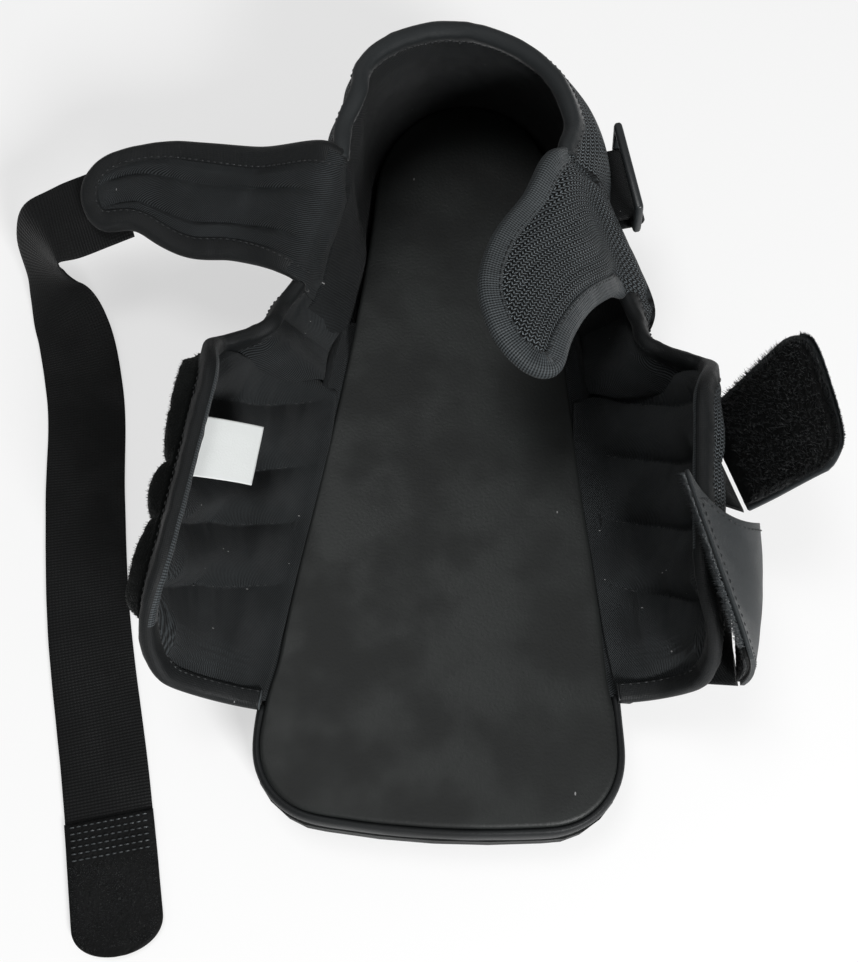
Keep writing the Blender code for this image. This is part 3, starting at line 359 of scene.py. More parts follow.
anchor_cloth = cloth_finish("flat_webbing", TWILL, 0.0011, 0.003, 0.010, 0.06, 0.7, 0.00025, 0.1)

# %% [markdown]
# The footbed is a fine rubbery skin, softer in tone where the foot has polished it. The loop and hook
# faces are rough plastic fibre. The ring, the outsole and the foam sole are moulded.

# %% The skins, fibres and moulded finishes
def grain_finish(name, grey, tint, rough, grains, sheen=0.0, specular=0.3, lint=0.2, wear=1.5):
    """A moulded or coated skin. Grains are pairs of texture scale and bump depth."""
    look, tree, shader, place, specks = start_finish(name, False, lint, 0.0035, sheen, specular)
    tone = blend_colour(tree, specks["Mottle"], rgb(grey, tint), rgb(grey * wear, tint))
    set_tone(tree, shader, specks, tone, 0.7, 0.3, rough, 0.1)
    under = None
    for scale, depth in grains:
        grain = node(tree, "ShaderNodeTexNoise", {"Vector": place, "Scale": scale, "Detail": 3.0})
        under = set_bump(tree, shader, grain.outputs[0], depth, under=under)
    return look


footbed_skin = grain_finish("footbed_skin", 0.0068, GREENISH, 0.6, [(900.0, 0.00012)], 0.03,
                            0.3, 0.02, wear=1.9)
edge_skin = grain_finish("edge_skin", 0.006, SLATE, 0.6, [(1100.0, 0.0001)], 0.03, 0.2, 0.02)
outsole_rubber = grain_finish("outsole_rubber", 0.006, GREENISH, 0.7, [(260.0, 0.0003),
                                                                      (1400.0, 0.0001)], 0.0, 0.3)
foam_sole = grain_finish("foam_sole", 0.012, SLATE, 0.85, [(520.0, 0.0003)], 0.0, 0.2)
ring_plastic = grain_finish("ring_plastic", 0.016, SLATE, 0.42, [(700.0, 0.00006)], 0.0, 0.5, 0.1)
pile_fibre = grain_finish("loop_fibre", 0.004, GREENISH, 0.95, [(1500.0, 0.0006)], 0.08, 0.1, 0.1)
hook_fibre = grain_finish("hook_fibre", 0.012, SLATE, 0.4, [(1800.0, 0.0003)], 0.0, 0.6, 0.1)
# A lighter copy of the hook finish: a painted highlight, for the hooks round the straps' tips and the
# tab's tacks.
hook_painted_highlight = grain_finish("hook_painted_highlight", 0.035, SLATE, 0.4, [(1800.0, 0.0003)], 0.0, 0.6, 0.1)
hook_base = grain_finish("hook_base", 0.0015, SLATE, 0.7, [(900.0, 0.0004)], 0.02, 0.15, 0.0)
thread = grain_finish("thread", 0.010, SLATE, 0.5, [(3000.0, 0.0001)], 0.05, 0.4, 0.0)
board = grain_finish("insole_board", 0.12, (1.0, 0.8, 0.6), 0.85, [(300.0, 0.0002)])
label_cloth = grain_finish("label_cloth", 0.64, (0.97, 1.0, 0.99), 0.6, [(1600.0, 0.00008)], 0.0,
                           0.3, 0.0, wear=1.06)

# %% [markdown]
# ## Forms: flat patterns laid over a curved last
# A sewn shell starts as flat pattern pieces. Here each wall has a form: a row of profile curves, one
# behind the other. A place on the flat pattern is a distance along the form and a share of the way up,
# and the form lays it on the curve, with an offset above or below. The foam bodies, tapes, seams, the
# label and the straps are all cut on the pattern and laid this way, so they follow each other exactly.

# %% Curves
def bezier(controls, t):
    """Points of cubic curves; controls has four points on its second last axis."""
    t = np.asarray(t)[..., None]
    s = 1 - t
    p = [controls[..., k, :] for k in range(4)]
    return p[0] * s**3 + p[1] * 3 * s * s * t + p[2] * 3 * s * t * t + p[3] * t**3


def trimmed(controls, share):
    """The first part of a cubic curve, as a cubic curve."""
    a, b, c, d = controls
    ab, bc, cd = a + (b - a) * share, b + (c - b) * share, c + (d - c) * share
    abc, bcd = ab + (bc - ab) * share, bc + (cd - bc) * share
    return np.array([a, ab, abc, abc + (bcd - abc) * share])


def through(points):
    """The cubic curve through four points, a third of the way apart."""
    a, b, c, d = points
    return np.array([a, (-5 * a + 18 * b - 9 * c + 2 * d) / 6,
                     (2 * a - 9 * b + 18 * c - 5 * d) / 6, d])


def smooth_line(stops, values, at):
    """A smooth curve through values at their stops, read at other places."""
    stops, values, at = np.asarray(stops, float), np.asarray(values, float), np.asarray(at, float)
    slopes = np.gradient(values, stops, axis=0)
    k = np.clip(np.searchsorted(stops, at, "right") - 1, 0, len(stops) - 2)
    width = stops[k + 1] - stops[k]
    t = (at - stops[k]) / width
    shape = t.shape + (1,) * (values.ndim - 1)
    t, width = t.reshape(shape), width.reshape(shape)
    return (values[k] * (2 * t**3 - 3 * t**2 + 1) + slopes[k] * width * (t**3 - 2 * t**2 + t)
            + values[k + 1] * (3 * t**2 - 2 * t**3) + slopes[k + 1] * width * (t**3 - t**2))


def unit(vectors):
    return vectors / np.maximum(np.linalg.norm(vectors, axis=-1, keepdims=True), 1e-12)


def vec(*numbers):
    return np.array(numbers, float)


def mix(first, second, share):
    """The second value in place of the first, by a share."""
    return first + (second - first) * share


def run_along(points):
    """How far each point of a line is from its start, along it."""
    return np.concatenate([[0], np.cumsum(np.linalg.norm(np.diff(points, axis=0), axis=1))])


def read_at(at, run, table):
    """The columns of a table that is known at some distances, read at others."""
    return np.stack([np.interp(at, run, column) for column in table.T], -1)


def joint_line(name):
    """A joint's place in mm, and its axis."""
    return np.array(joints[name]["pos_m"]) / MM, np.array(joints[name]["axis"])


# %% The form
class Form:
    """A curved wall. u is a distance along its pattern in mm, v runs from 0 to 1 up its profiles."""

    def __init__(self, stops, profiles, inside):
        self.stops = np.asarray(stops, float)
        self.profiles = np.asarray(profiles, float)
        self.sign = 1.0
        middle = self.stops[len(self.stops) // 2]
        away = self.place(middle, 0.5) - np.asarray(inside, float)
        if self.normal(middle, 0.5) @ away < 0:
            self.sign = -1.0

    def place(self, u, v):
        return bezier(smooth_line(self.stops, self.profiles, u), v)

    def normal(self, u, v):
        """The way outwards, from how the place moves for small steps in u and in v."""
        u, v = np.broadcast_arrays(np.asarray(u, float), np.asarray(v, float))
        du, dv = 0.2, 0.01
        along = (self.place(u + du, v) - self.place(u - du, v)) / (2 * du)
        up = (self.place(u, v + dv) - self.place(u, v - dv)) / (2 * dv)
        return unit(np.cross(along, up)) * self.sign

    def lay(self, u, v, offset):
        """The place at an offset outwards from the form, in mm."""
        u, v = np.broadcast_arrays(np.asarray(u, float), np.asarray(v, float))
        offset = np.broadcast_to(np.asarray(offset, float), u.shape)
        return self.place(u, v) + self.normal(u, v) * offset[..., None]

    def height(self, u):
        """The length of the profile at u."""
        points = self.place(np.full(25, float(u)), np.linspace(0, 1, 25))
        return float(np.linalg.norm(np.diff(points, axis=0), axis=1).sum())

    def heights(self, us):
        """The lengths of several profiles."""
        return np.array([self.height(u) for u in us])


# %% Turning points and faces into pieces
def piece(name, points, faces, looks, face_looks=None, pattern=None):
    """A mesh in metres from points in mm. pattern is one flat place in mm for each point."""
    mesh = bpy.data.meshes.new(name)
    mesh.from_pydata((np.asarray(points) * MM).tolist(), [], faces)
    for look in looks:
        mesh.materials.append(look)
    if face_looks is not None:
        mesh.polygons.foreach_set("material_index", np.asarray(face_looks, np.int32))
    if pattern is not None:
        corners = np.zeros(len(mesh.loops), np.int32)
        mesh.loops.foreach_get("vertex_index", corners)
        layer = mesh.uv_layers.new(name=PATTERN)
        flat = (np.asarray(pattern) * MM)[corners]
        layer.data.foreach_set("uv", flat.astype(np.float32).ravel())
    mesh.polygons.foreach_set("use_smooth", np.ones(len(mesh.polygons), bool))
    mesh.update()
    made = bpy.data.objects.new(name, mesh)
    scene.collection.objects.link(made)
    return made


def grid_faces(rows, columns, start=0, flip=False, closed=False):
    """Faces of a grid whose points are numbered row by row. closed joins its last and first column."""
    faces = []
    for i in range(rows - 1):
        for j in range(columns if closed else columns - 1):
            k = (j + 1) % columns
            a, b = start + i * columns + j, start + i * columns + k
            c, d = start + (i + 1) * columns + k, start + (i + 1) * columns + j
            faces.append((a, d, c, b) if flip else (a, b, c, d))
    return faces


def face_outwards(made, weld=None):
    """Turns every face of a closed piece outwards, and joins points that are closer than weld."""
    bm = bmesh.new()
    bm.from_mesh(made.data)
    if weld:
        bmesh.ops.remove_doubles(bm, verts=bm.verts[:], dist=weld)
    bmesh.ops.recalc_face_normals(bm, faces=bm.faces[:])
    bm.to_mesh(made.data)
    bm.free()
    return made


def tube(name, rows, looks, along, around, face_looks=None):
    """A closed body through rows of loops, with flat ends. along and around place each row and each
    point of a loop on the flat pattern."""
    count, columns = rows.shape[:2]
    faces = grid_faces(count, columns, closed=True)
    faces.append(tuple(range(columns - 1, -1, -1)))
    faces.append(tuple(range((count - 1) * columns, count * columns)))
    flat = np.stack(np.broadcast_arrays(along[:, None], around), -1).reshape(-1, 2)
    return face_outwards(piece(name, rows.reshape(-1, 3), faces, looks, face_looks, flat))


def settle(made, body, slot_name, *nodes):
    """Says which body carries a piece and which solids it stands for. slot_name, what it is made of, is
    not used.
    """
    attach(made, body)
    if nodes:
        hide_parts(*nodes)


# %% [markdown]
# ## The last
# The footbed's outline is read off the CAD footbed. The heel collar is a wall that stands on this
# outline and leans in towards the ankle, so each of its profiles starts on the outline and ends on
# the rim. The joints of the ankle wings give the two creases where the collar turns into a wing.


# %% The footbed's outline
def footbed_outline():
    """The edge of the footbed in mm, from the middle of the heel round the right side and back."""
    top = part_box("footbed")[1].z
    found = set()
    for vertex in frame["nodes"]["footbed"].data.vertices:
        if vertex.co.z > top - 0.1 * MM:
            found.add((round(vertex.co.x / MM, 2), round(vertex.co.y / MM, 2)))
    return np.array(sorted(found, key=lambda p: math.atan2(p[0], p[1]) % (2 * math.pi)))


OUTLINE = footbed_outline()
right_side = OUTLINE[OUTLINE[:, 0] > -0.01]
right_side = right_side[np.argsort(np.arctan2(right_side[:, 0], right_side[:, 1]))]
walked = run_along(right_side)
print("outline points:", len(OUTLINE), "heel to toe along the edge:", round(walked[-1], 1))


def half_width(y):
    """How far the footbed's edge is from its middle line."""
    order = np.argsort(right_side[:, 1])
    return np.interp(y, right_side[order, 1], right_side[order, 0])


def edge_at(distance, margin):
    """A point beside the right edge, at a distance along it from the heel, and the way outwards."""
    k = min(int(np.searchsorted(walked, distance)), len(walked) - 1)
    k = max(k, 1)
    along = unit(right_side[k] - right_side[k - 1])
    out = vec(-along[1], along[0], 0)
    place = right_side[k - 1] + along * (distance - walked[k - 1])
    return vec(*place, 0) + out * margin, out


# %% The upper: heel collar and waist, as one form
WALL_HALF = 4.2           # half the padded wall
WALL_OUT = WALL_HALF + 0.9          # its middle, from the footbed's edge
WALL_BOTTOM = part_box("collar_shell")[0].z / MM
TAPE_REACH = 3.6          # foam edge to the outside of its tape
HEEL_PITCH = 11.5         # between two profiles round the heel
HEEL_STEPS = 6
RIM_BACK = vec(-7, 128.5, 87)       # the middle of the heel's rim
RIM_ROUND = 29.5
RIM_HALF = {-1: 38.0, 1: 30.5}      # left and right half widths of the rim
RIM_POINTED = 1.3
RIM_RISE = 2.0
CREASE_LENGTH = {-1: 47.6, 1: 56.4}
WAIST_RIM = vec(66, 18, 57)
HEEL_SWELL = 7.0
SWELL_RUN = 70.0          # from the heel's swell to the side's
SIDE_SWELL = {-1: 9.0, 1: 25.0}
CREASE_SWELL = {-1: 1.0, 1: 25.0}
WAIST_SWELL = 14.0
CREASE_FROM, CREASE_TO = 95.0, 125.0         # along the edge from the heel's middle
SIDE_PLACE, NOTCH_PLACE, UPPER_END = 82.0, 138.0, 151.5
CREASE_REACH = 0.85       # the creases carry no tape of the collar's


def crease(side):
    """The lower and the upper end of a crease, mirrored onto the right side."""
    middle, along = joint_line(f"{SIDES[side]}_ankle_fold")
    along = along * np.sign(along[2]) * CREASE_LENGTH[side] / 2
    flip = vec(side, 1, 1)
    return (middle - along) * flip, (middle + along) * flip


def upper_profile(distance, rim, swell, back, side):
    """One profile of the upper, from its foot beside the sole to its edge."""
    foot, out = edge_at(distance, WALL_OUT)
    foot[2] = WALL_BOTTOM
    up = vec(0, 0, 1) * (rim[2] - foot[2])
    swell = mix(HEEL_SWELL, swell, min(1.0, distance / SWELL_RUN))
    controls = [foot, foot + up * 0.3 + out * swell / 2, rim - up * 0.36 + out * swell, rim]
    return trimmed(controls, 1 - back / np.linalg.norm(rim - foot)) * vec(side, 1, 1)


def upper_side(side):
    """The profiles of one side, with their distances along the edge."""
    bottom, top = crease(side)
    found = []
    for i in range(HEEL_STEPS + 1):
        angle = math.pi / 2 * i / HEEL_STEPS
        rim = vec(side * RIM_BACK[0] * math.cos(angle) + RIM_HALF[side] * math.sin(angle)**RIM_POINTED,
                  RIM_BACK[1] - RIM_ROUND * (1 - math.cos(angle)),
                  RIM_BACK[2] + RIM_RISE * math.sin(angle))
        found.append((HEEL_PITCH * i, rim, SIDE_SWELL[side], TAPE_REACH))
    found.append((SIDE_PLACE, (found[-1][1] + top) / 2 + vec(1.5, 0, 1), SIDE_SWELL[side], TAPE_REACH))
    for share, distance in ((0, CREASE_FROM), (0.5, (CREASE_FROM + CREASE_TO) / 2), (1, CREASE_TO)):
        found.append((distance, mix(top, bottom, share), CREASE_SWELL[side], CREASE_REACH))
    notch = mix(bottom, WAIST_RIM, 0.45) - vec(0, 0, 1)
    found.append((NOTCH_PLACE, notch, WAIST_SWELL, TAPE_REACH))
    found.append((UPPER_END, WAIST_RIM, WAIST_SWELL, TAPE_REACH))
    return [(d, upper_profile(d, rim, swell, back, side)) for d, rim, swell, back in found]


left_profiles = [(-d, profile) for d, profile in upper_side(-1)[:0:-1]]
all_profiles = left_profiles + upper_side(1)
upper = Form([d for d, _ in all_profiles], [p for _, p in all_profiles], (0, 80, 55))
print("upper: heel height", round(upper.height(0), 1), "mm, sign", upper.sign)

# %% [markdown]
# ## The instep wings
# Each wing is a bowl that swings out from its hinge beside the sole. Its profile is the same curve
# all along the hinge, cut lower towards both ends to round the corners. The wing is sewn to the waist
# of the upper, so its form starts with the waist's own profiles.

# %% The forms of the instep wings
HINGE_REAR = 10.0
HINGE_FRONT = {-1: -108.0, 1: -99.5}     # the right wing is sewn in a little shorter
WING_RISE = 52.0
WING_REACH = {-1: (27.0, 26.0), 1: (30.0, 12.0)}     # rim outwards from the hinge, rear and front
WING_BELLY = {-1: (52.0, 41.0), 1: (55.0, 37.0)}
WING_SEAMS = {             # where each seam meets the root and the rim
    -1: ((4.5, 30.0), (31.0, 59.0), (53.5, 75.0), (77.0, 96.5)),
    1: ((-4.0, 23.0), (21.0, 46.0), (46.5, 69.5), (71.5, 94.0)),
}
WING_STEP = 4.0
REAR_CORNER = (24.0, 0.66, 1.8)      # length, height left at the end, roundness
FRONT_CORNER = (32.0, 0.55, 2.1)
WAIST_GAP = 8.5           # pattern between the upper's end and the wing's rear end


def hinge(side):
    """The rear end of a wing's hinge, the way along it to the front, and its length."""
    middle, along = joint_line(f"{SIDES[side]}_instep_fold")
    along = along * -np.sign(along[1])
    rear = middle - along * (HINGE_REAR - middle[1]) / abs(along[1])
    return rear, along, (HINGE_REAR - HINGE_FRONT[side]) / abs(along[1])


def corner(distance, shape):
    """The share of a wing's height that is left at a distance from its end."""
    length, left, power = shape
    return left + (1 - left) * (1 - (1 - min(distance / length, 1.0))**power)


def wing_form(side):
    """A wing's form, with the waist in front of it at negative distances."""
    rear, along, length = hinge(side)
    out = unit(vec(-along[1], along[0], 0))
    out = out * (side * np.sign(out[0]))
    up = vec(0, 0, 1)
    stops, profiles = [], []
    for distance in (CREASE_TO, NOTCH_PLACE, UPPER_END):
        stops.append(distance - UPPER_END - WAIST_GAP)
        profiles.append(smooth_line(upper.stops, upper.profiles, side * distance))
    for place in np.linspace(0, length, int(length / WING_STEP) + 1):
        share = place / length
        reach = WING_REACH[side][0] * (1 - share) + WING_REACH[side][1] * share
        belly = WING_BELLY[side][0] * (1 - share) + WING_BELLY[side][1] * share
        foot = rear + along * place
        controls = [foot, foot + out * belly / 2 - up, foot + out * belly + up * WING_RISE / 2,
                    foot + out * reach + up * WING_RISE]
        height = corner(place, REAR_CORNER) * corner(length - place, FRONT_CORNER)
        stops.append(place)
        profiles.append(trimmed(controls, height * (1 - TAPE_REACH / (1.6 * WING_RISE))))
    return Form(stops, profiles, (0, -49, 50)), length


wings = {side: wing_form(side) for side in (-1, 1)}
for side, (form, length) in wings.items():
    print("wing", side, "length", round(length, 1), "height", round(form.height(length / 2), 1))

# %% [markdown]
# ## The ankle wings
# An ankle wing continues the collar past its crease. Its form starts a little way down the collar,
# turns over the crease and runs out between two edges to the tip.

# %% The forms of the ankle wings
CREASE_TUCK = 13.0        # how far a wing's cloth runs down the collar
ANKLE_EDGES = {           # lower and upper edge, outwards from the crease
    -1: (((-84, 52, 48.5), (-76, 84, 66)), ((-103, 54, 46.3), (-98, 89.5, 60)),
         ((-113, 58, 47.5), (-110, 92, 57)), ((-121, 63, 48), (-119, 92, 55)),
         ((-131, 64, 46), (-134, 89.5, 51.5)), ((-138.5, 63, 43.5), (-146, 82, 49))),
    1: (((51, 33, 65), (21, 51, 90)), ((41, 18, 78), (11, 32, 93)),
        ((34, 1.5, 86), (8, 12, 94)), ((31, -12.5, 88.5), (17, -11, 91))),
}
ANKLE_CAMBER = 4.0
CAMBER_ENDS = 75.0        # a wing is flat from this distance on


def ankle_form(side):
    """An ankle wing's form; negative distances lie on the collar."""
    bottom, top = [p * vec(side, 1, 1) for p in crease(side)]
    shares = np.linspace(0, 1, 4)
    distances = side * mix(CREASE_TO, CREASE_FROM, shares)
    profiles, stops = [], []
    for tuck in (CREASE_TUCK, CREASE_TUCK / 2):
        profiles.append(through(upper.place(distances, 1 - tuck / upper.heights(distances))))
        stops.append(-tuck)
    profiles.append(through([mix(bottom, top, share) for share in shares]))
    stops.append(0.0)
    pairs = [(vec(*a), vec(*b)) for a, b in ANKLE_EDGES[side]]
    lift = unit(np.cross((pairs[-1][0] + pairs[-1][1]) / 2 - (bottom + top) / 2, top - bottom))
    lift = lift * side * np.sign(lift[2])
    before = (bottom + top) / 2
    for a, b in pairs:
        stops.append(stops[-1] + np.linalg.norm((a + b) / 2 - before))
        before = (a + b) / 2
        belly = lift * (ANKLE_CAMBER * 4 / 3 * max(0.0, 1 - (stops[-1] / CAMBER_ENDS)**2))
        profiles.append(np.array([a, a + (b - a) / 3 + belly, b - (b - a) / 3 + belly, b]))
    inside = before + (vec(0, 0, 60) if side < 0 else vec(-10, 0, -60))
    return Form(stops, profiles, inside)


ankles = {side: ankle_form(side) for side in (-1, 1)}
for side, form in ankles.items():
    print("ankle wing", side, "stops", np.round(form.stops, 1).tolist(), "sign", form.sign)

# %% [markdown]
# ## Padded walls, tapes and stitches
# Three kinds of piece make up nearly the whole shoe, so each gets one function. A padded wall has a
# lining inside, a mesh outside and foam between them; where it is sewn through it is thin, and
# between the seams it swells. A tape is folded over the wall's raw edge and follows it round every
# corner. A row of stitches is many copies of one small loop of thread.

# %% Slopes and unevenness
def ramp(value, low, high):
    """0 below low and 1 above high, with a smooth change between them."""
    t = np.clip((np.asarray(value, float) - low) / np.maximum(high - low, 1e-9), 0, 1)
    return t * t * (3 - 2 * t)


def uneven(u, v, lump, seed):
    """Smooth lumps between -1 and 1 on a pattern; lump is their size along u and along v."""
    table = np.random.default_rng(seed).uniform(-1, 1, (64, 64))
    s, t = np.asarray(u, float) / lump[0], np.asarray(v, float) / lump[1]
    i, j = np.floor(s).astype(int), np.floor(t).astype(int)
    s, t = ramp(s - i, 0, 1), ramp(t - j, 0, 1)
    low = table[i % 64, j % 64] * (1 - s) + table[(i + 1) % 64, j % 64] * s
    high = table[i % 64, (j + 1) % 64] * (1 - s) + table[(i + 1) % 64, (j + 1) % 64] * s
    return low * (1 - t) + high * t


def swell(at, seams, fullness=0.5, sag=1.0):
    """How full a sewn channel is: 0 on each seam and 1 in the middle between two seams. Each seam is
    a number, or an array where it slants. sag above 1 moves the fullest place to the later seam."""
    at = np.asarray(at, float)
    full = np.zeros(at.shape)
    for low, high in zip(seams[:-1], seams[1:]):
        t = (at - low) / (high - low)
        between = (t > 0) & (t < 1)
        full = np.where(between, np.sin(math.pi * np.clip(t, 0, 1)**sag), full)
    return np.clip(full, 0, 1)**fullness


def always(share):
    """The same v for each u."""
    return lambda u: np.full(len(u), share)


def level(depth):
    """The same depth everywhere."""
    return lambda u, v, up: 0 * u + depth


# %% A padded wall
def wall(name, form, us, rows, foot, rim, inner, outer, looks):
    """A closed body on a form. foot and rim give its lowest and highest v for each u. inner and outer
    give its depth on each side of the form, from u, v and the height in mm above the foot."""
    share = np.linspace(0, 1, rows)[:, None]
    low, high = foot(us), rim(us)
    v = low + (high - low) * share
    u = np.broadcast_to(us, v.shape)
    heights = v * form.heights(us)
    inside = form.lay(u, v, -inner(u, v, heights)).reshape(-1, 3)
    outside = form.lay(u, v, outer(u, v, heights)).reshape(-1, 3)
    count, columns = len(inside), len(us)
    faces = grid_faces(rows, columns) + grid_faces(rows, columns, count, flip=True)
    face_looks = [0] * (len(faces) // 2) + [1] * (len(faces) // 2)
    edge = list(range(columns)) + [i * columns + columns - 1 for i in range(1, rows)]
    edge += [(rows - 1) * columns + j for j in range(columns - 2, -1, -1)]
    edge += [i * columns for i in range(rows - 2, 0, -1)]
    for a, b in zip(edge, edge[1:] + edge[:1]):
        faces.append((b, a, a + count, b + count))
        face_looks.append(0)
    flat = np.stack([u, heights], -1).reshape(-1, 2)
    made = piece(name, np.concatenate([inside, outside]), faces, looks, face_looks,
                 np.concatenate([flat, flat]))
    return face_outwards(made)


def padded_wall(*facts):
    """A wall of lining over foam over mesh."""
    made = wall(*facts)
    print(made.name, len(made.data.polygons), "faces")
    return made


# %% Lines along a form, and tapes folded over an edge
def line_on(form, us, vs, offset=0.0):
    """The places and outward normals of a line on a form."""
    us, vs = np.broadcast_arrays(np.asarray(us, float), np.asarray(vs, float))
    return form.lay(us, vs, offset), form.normal(us, vs)


def joined(*lines):
    """Several lines on end."""
    return tuple(np.concatenate(parts) for parts in zip(*lines))


def even_steps(line, step, soften=0):
    """A line with even steps, made softer round its corners, and the distances of its points."""
    places, normals = line
    run = run_along(places)
    keep = np.concatenate([[True], np.diff(run) > 1e-6])
    at = np.linspace(0, run[-1], max(3, int(round(run[-1] / step)) + 1))
    both = read_at(at, run[keep], np.concatenate([places, normals], axis=1)[keep])
    for _ in range(soften):
        both[1:-1] = (both[:-2] + 2 * both[1:-1] + both[2:]) / 4
    return both[:, :3], unit(both[:, 3:]), at


def directions(places, normals, middle):
    """The way from a line into the cloth, towards a middle point, and the way out of the cloth."""
    along = unit(np.gradient(places, axis=0))
    inward = unit(np.cross(normals, along))
    if ((middle - places) * inward).sum() < 0:
        inward = -inward
    out = unit(np.cross(inward, along))
    return inward, out * np.sign((np.cross(inward, along) * normals).sum())


TAPE_TURN = 7             # the point of a tape's section where its outer look starts
TAPE_END = 10.0           # how far from its ends a tape is pressed thin
TAPE_PUCKERS = 0.2


def tape(name, line, middle, width, half, looks, nose=3.2, soften=12, seed=1, end_share=1.0,
         inner_part=(-math.inf, math.inf)):
    """A binding tape, folded over an edge. width is how far it reaches onto each face, half is half
    its thickness with the wall in it, and nose is how far it stands beyond the edge. looks are its
    inner and outer finish, and inner_part the stretch of y where the inner one shows.
    end_share says how much of its thickness is left at its ends."""
    places, normals, at = even_steps(line, 1.0, soften)
    inward, normals = directions(places, normals, middle)
    turns = np.linspace(-math.pi / 2, math.pi / 2, 11)
    section = [(width, -half + 1.1), (width - 0.15, -half + 0.25), (width - 0.6, -half)]
    section += [(-nose * math.cos(a), half * math.sin(a)) for a in turns]
    section += [(width - 0.6, half), (width - 0.15, half - 0.25), (width, half - 1.1)]
    section = np.array(section)
    across = run_along(section)
    rise = 1 + TAPE_PUCKERS / half * (uneven(at[:, None], across, (3.0, 4.0), seed)
                                      + uneven(at[:, None], across, (14.0, 9.0), seed + 1))
    pressed = end_share + (1 - end_share) * ramp(np.minimum(at, at[-1] - at), 0, TAPE_END)
    reach = np.where(section[:, 0] < 0, section[:, 0] * pressed[:, None], section[:, 0])
    rows = (places[:, None] + inward[:, None] * reach[..., None]
            + normals[:, None] * (section[None, :, 1] * rise * pressed[:, None])[..., None])
    inner = (inner_part[0] < places[:, 1]) & (places[:, 1] < inner_part[1])
    face_looks = [int(not shown or TAPE_TURN <= j < len(section) - 1)
                  for shown in inner[:-1] for j in range(len(section))] + [0, 0]
    return tube(name, rows, looks, at, across, face_looks)


def beside_tape(line, middle, reach, half):
    """The two lines where a tape is stitched, this far into the cloth, inside and outside."""
    places, normals, _ = even_steps(line, 1.0, 12)
    inward, normals = directions(places, normals, middle)
    return [(places + inward * reach + normals * height, normals) for height in (-half, half)]


# %% Stitches
STITCH_PITCH = 2.6
STITCH_LENGTH = 1.75
STITCH_THICK = 0.55
STITCH_RINGS = ((-0.5, 0.3, -0.5), (-0.3, 0.9, 0.05), (0.0, 1.0, 0.3), (0.3, 0.9, 0.05),
                (0.5, 0.3, -0.5))      # place along it, thickness, height


def stitches(name, lines, look=thread, pitch=STITCH_PITCH, facing=False):
    """Rows of thread loops along lines; each loop dips into the cloth at both ends. With facing, the
    first of each two lines is on the inside of a wall, and its loops face inwards."""
    turns = np.arange(6) * math.pi / 3
    loop = np.array([(place * STITCH_LENGTH, math.cos(a) * thick * STITCH_THICK / 2,
                      (math.sin(a) * thick / 2 + height) * STITCH_THICK)
                     for place, thick, height in STITCH_RINGS for a in turns])
    loop_faces = grid_faces(len(STITCH_RINGS), 6, closed=True)
    loop_faces += [tuple(range(5, -1, -1)), tuple(range(len(loop) - 6, len(loop)))]
    points, faces = [], []
    for number, (places, normals) in enumerate(lines):
        out = -normals if facing and number % 2 == 0 else normals
        places, out, _ = even_steps((places, out), pitch)
        along = unit(np.gradient(places, axis=0))
        side = unit(np.cross(out, along))
        out = np.cross(along, side)
        for place, x, y, z in zip(places[:-1] + np.diff(places, axis=0) / 2, along, side, out):
            start = len(points) * len(loop)
            points.append(place + loop @ np.array([x, y, z]))
            faces += [tuple(start + k for k in face) for face in loop_faces]
    made = piece(name, np.concatenate(points), faces, [look])
    print(name, len(points), "stitches")
    return face_outwards(made)


# %% [markdown]
# ## The heel collar
# The collar holds the heel from one crease round the back to the other. Its lining bulges over the
# footbed's edge, so that no gap shows there. In the two creases it ends lower down, where the ankle
# wings take over, and the wings' own cloth covers that end.


# %% The collar's wall
COLLAR_END = 134.0        # where the lining ends, under the waist's
COLLAR_FOOT_DEPTH = 5.0
COLLAR_DEPTH = 4.3
RIM_TAPE_WIDTH = 3.6
RIM_TAPE_HALF = 3.1
CREASE_DROP = 11.0        # how far below the crease the collar's own cloth ends


def collar_rim(u):
    """The collar's own cloth ends lower in the creases."""
    free = ramp(abs(u), CREASE_FROM + 0.5, CREASE_FROM + 2)
    return 1 - free * CREASE_DROP / upper.heights(u)


def to_tape(full, v, low, high):
    """A depth of the collar's cloth, pressed to the tape's thickness towards the rim."""
    return mix(full, RIM_TAPE_HALF - 0.6, ramp(v, low, high))


def collar_inner(u, v, up):
    depth = mix(COLLAR_DEPTH, COLLAR_FOOT_DEPTH, 1 - ramp(up, 12, 30))
    lumps = 0.5 * uneven(u, up, (19, 23), 3) + 0.25 * uneven(u, up, (5, 8), 4)
    free = 1 - ramp(abs(u), CREASE_TO - 3, COLLAR_END)
    full = depth + lumps * ramp(up, 10, 24) * free - 3.6 * (1 - free) * ramp(up, 14, 26)
    return to_tape(full, v, 0.82, 0.95)


def collar_outer(u, v, up):
    return to_tape(4.0 + 0.35 * uneven(u, up, (26, 18), 5), v, 0.86, 0.96)


# Its lining is the darker twill, which paints the shade inside the heel.
collar = padded_wall("heel_collar", upper, np.linspace(-COLLAR_END, COLLAR_END, 260), 72, always(0.0),
                     collar_rim, collar_inner, collar_outer, [heel_lining_painted_shade, mesh_cloth])
settle(collar, "sole", "brushed_lining", "collar_shell", "collar_lining", "heel_counter",
       "collar_heel_pad", "collar_left_pad", "collar_right_pad")

# %% The collar's tape and stitching
collar_line = line_on(upper, np.linspace(-CREASE_FROM, CREASE_FROM, 200), 1.0)
collar_middle = vec(0, 60, 20)
collar_tape = tape("collar_tape", collar_line, collar_middle, RIM_TAPE_WIDTH, RIM_TAPE_HALF,
                   [smooth_tape, smooth_tape], nose=2.4, seed=11)
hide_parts("collar_binding")
collar_rows = beside_tape(collar_line, collar_middle, RIM_TAPE_WIDTH - 1.1, RIM_TAPE_HALF)
for part in (collar_tape, stitches("collar_stitches", collar_rows, facing=True)):
    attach(part, "sole")

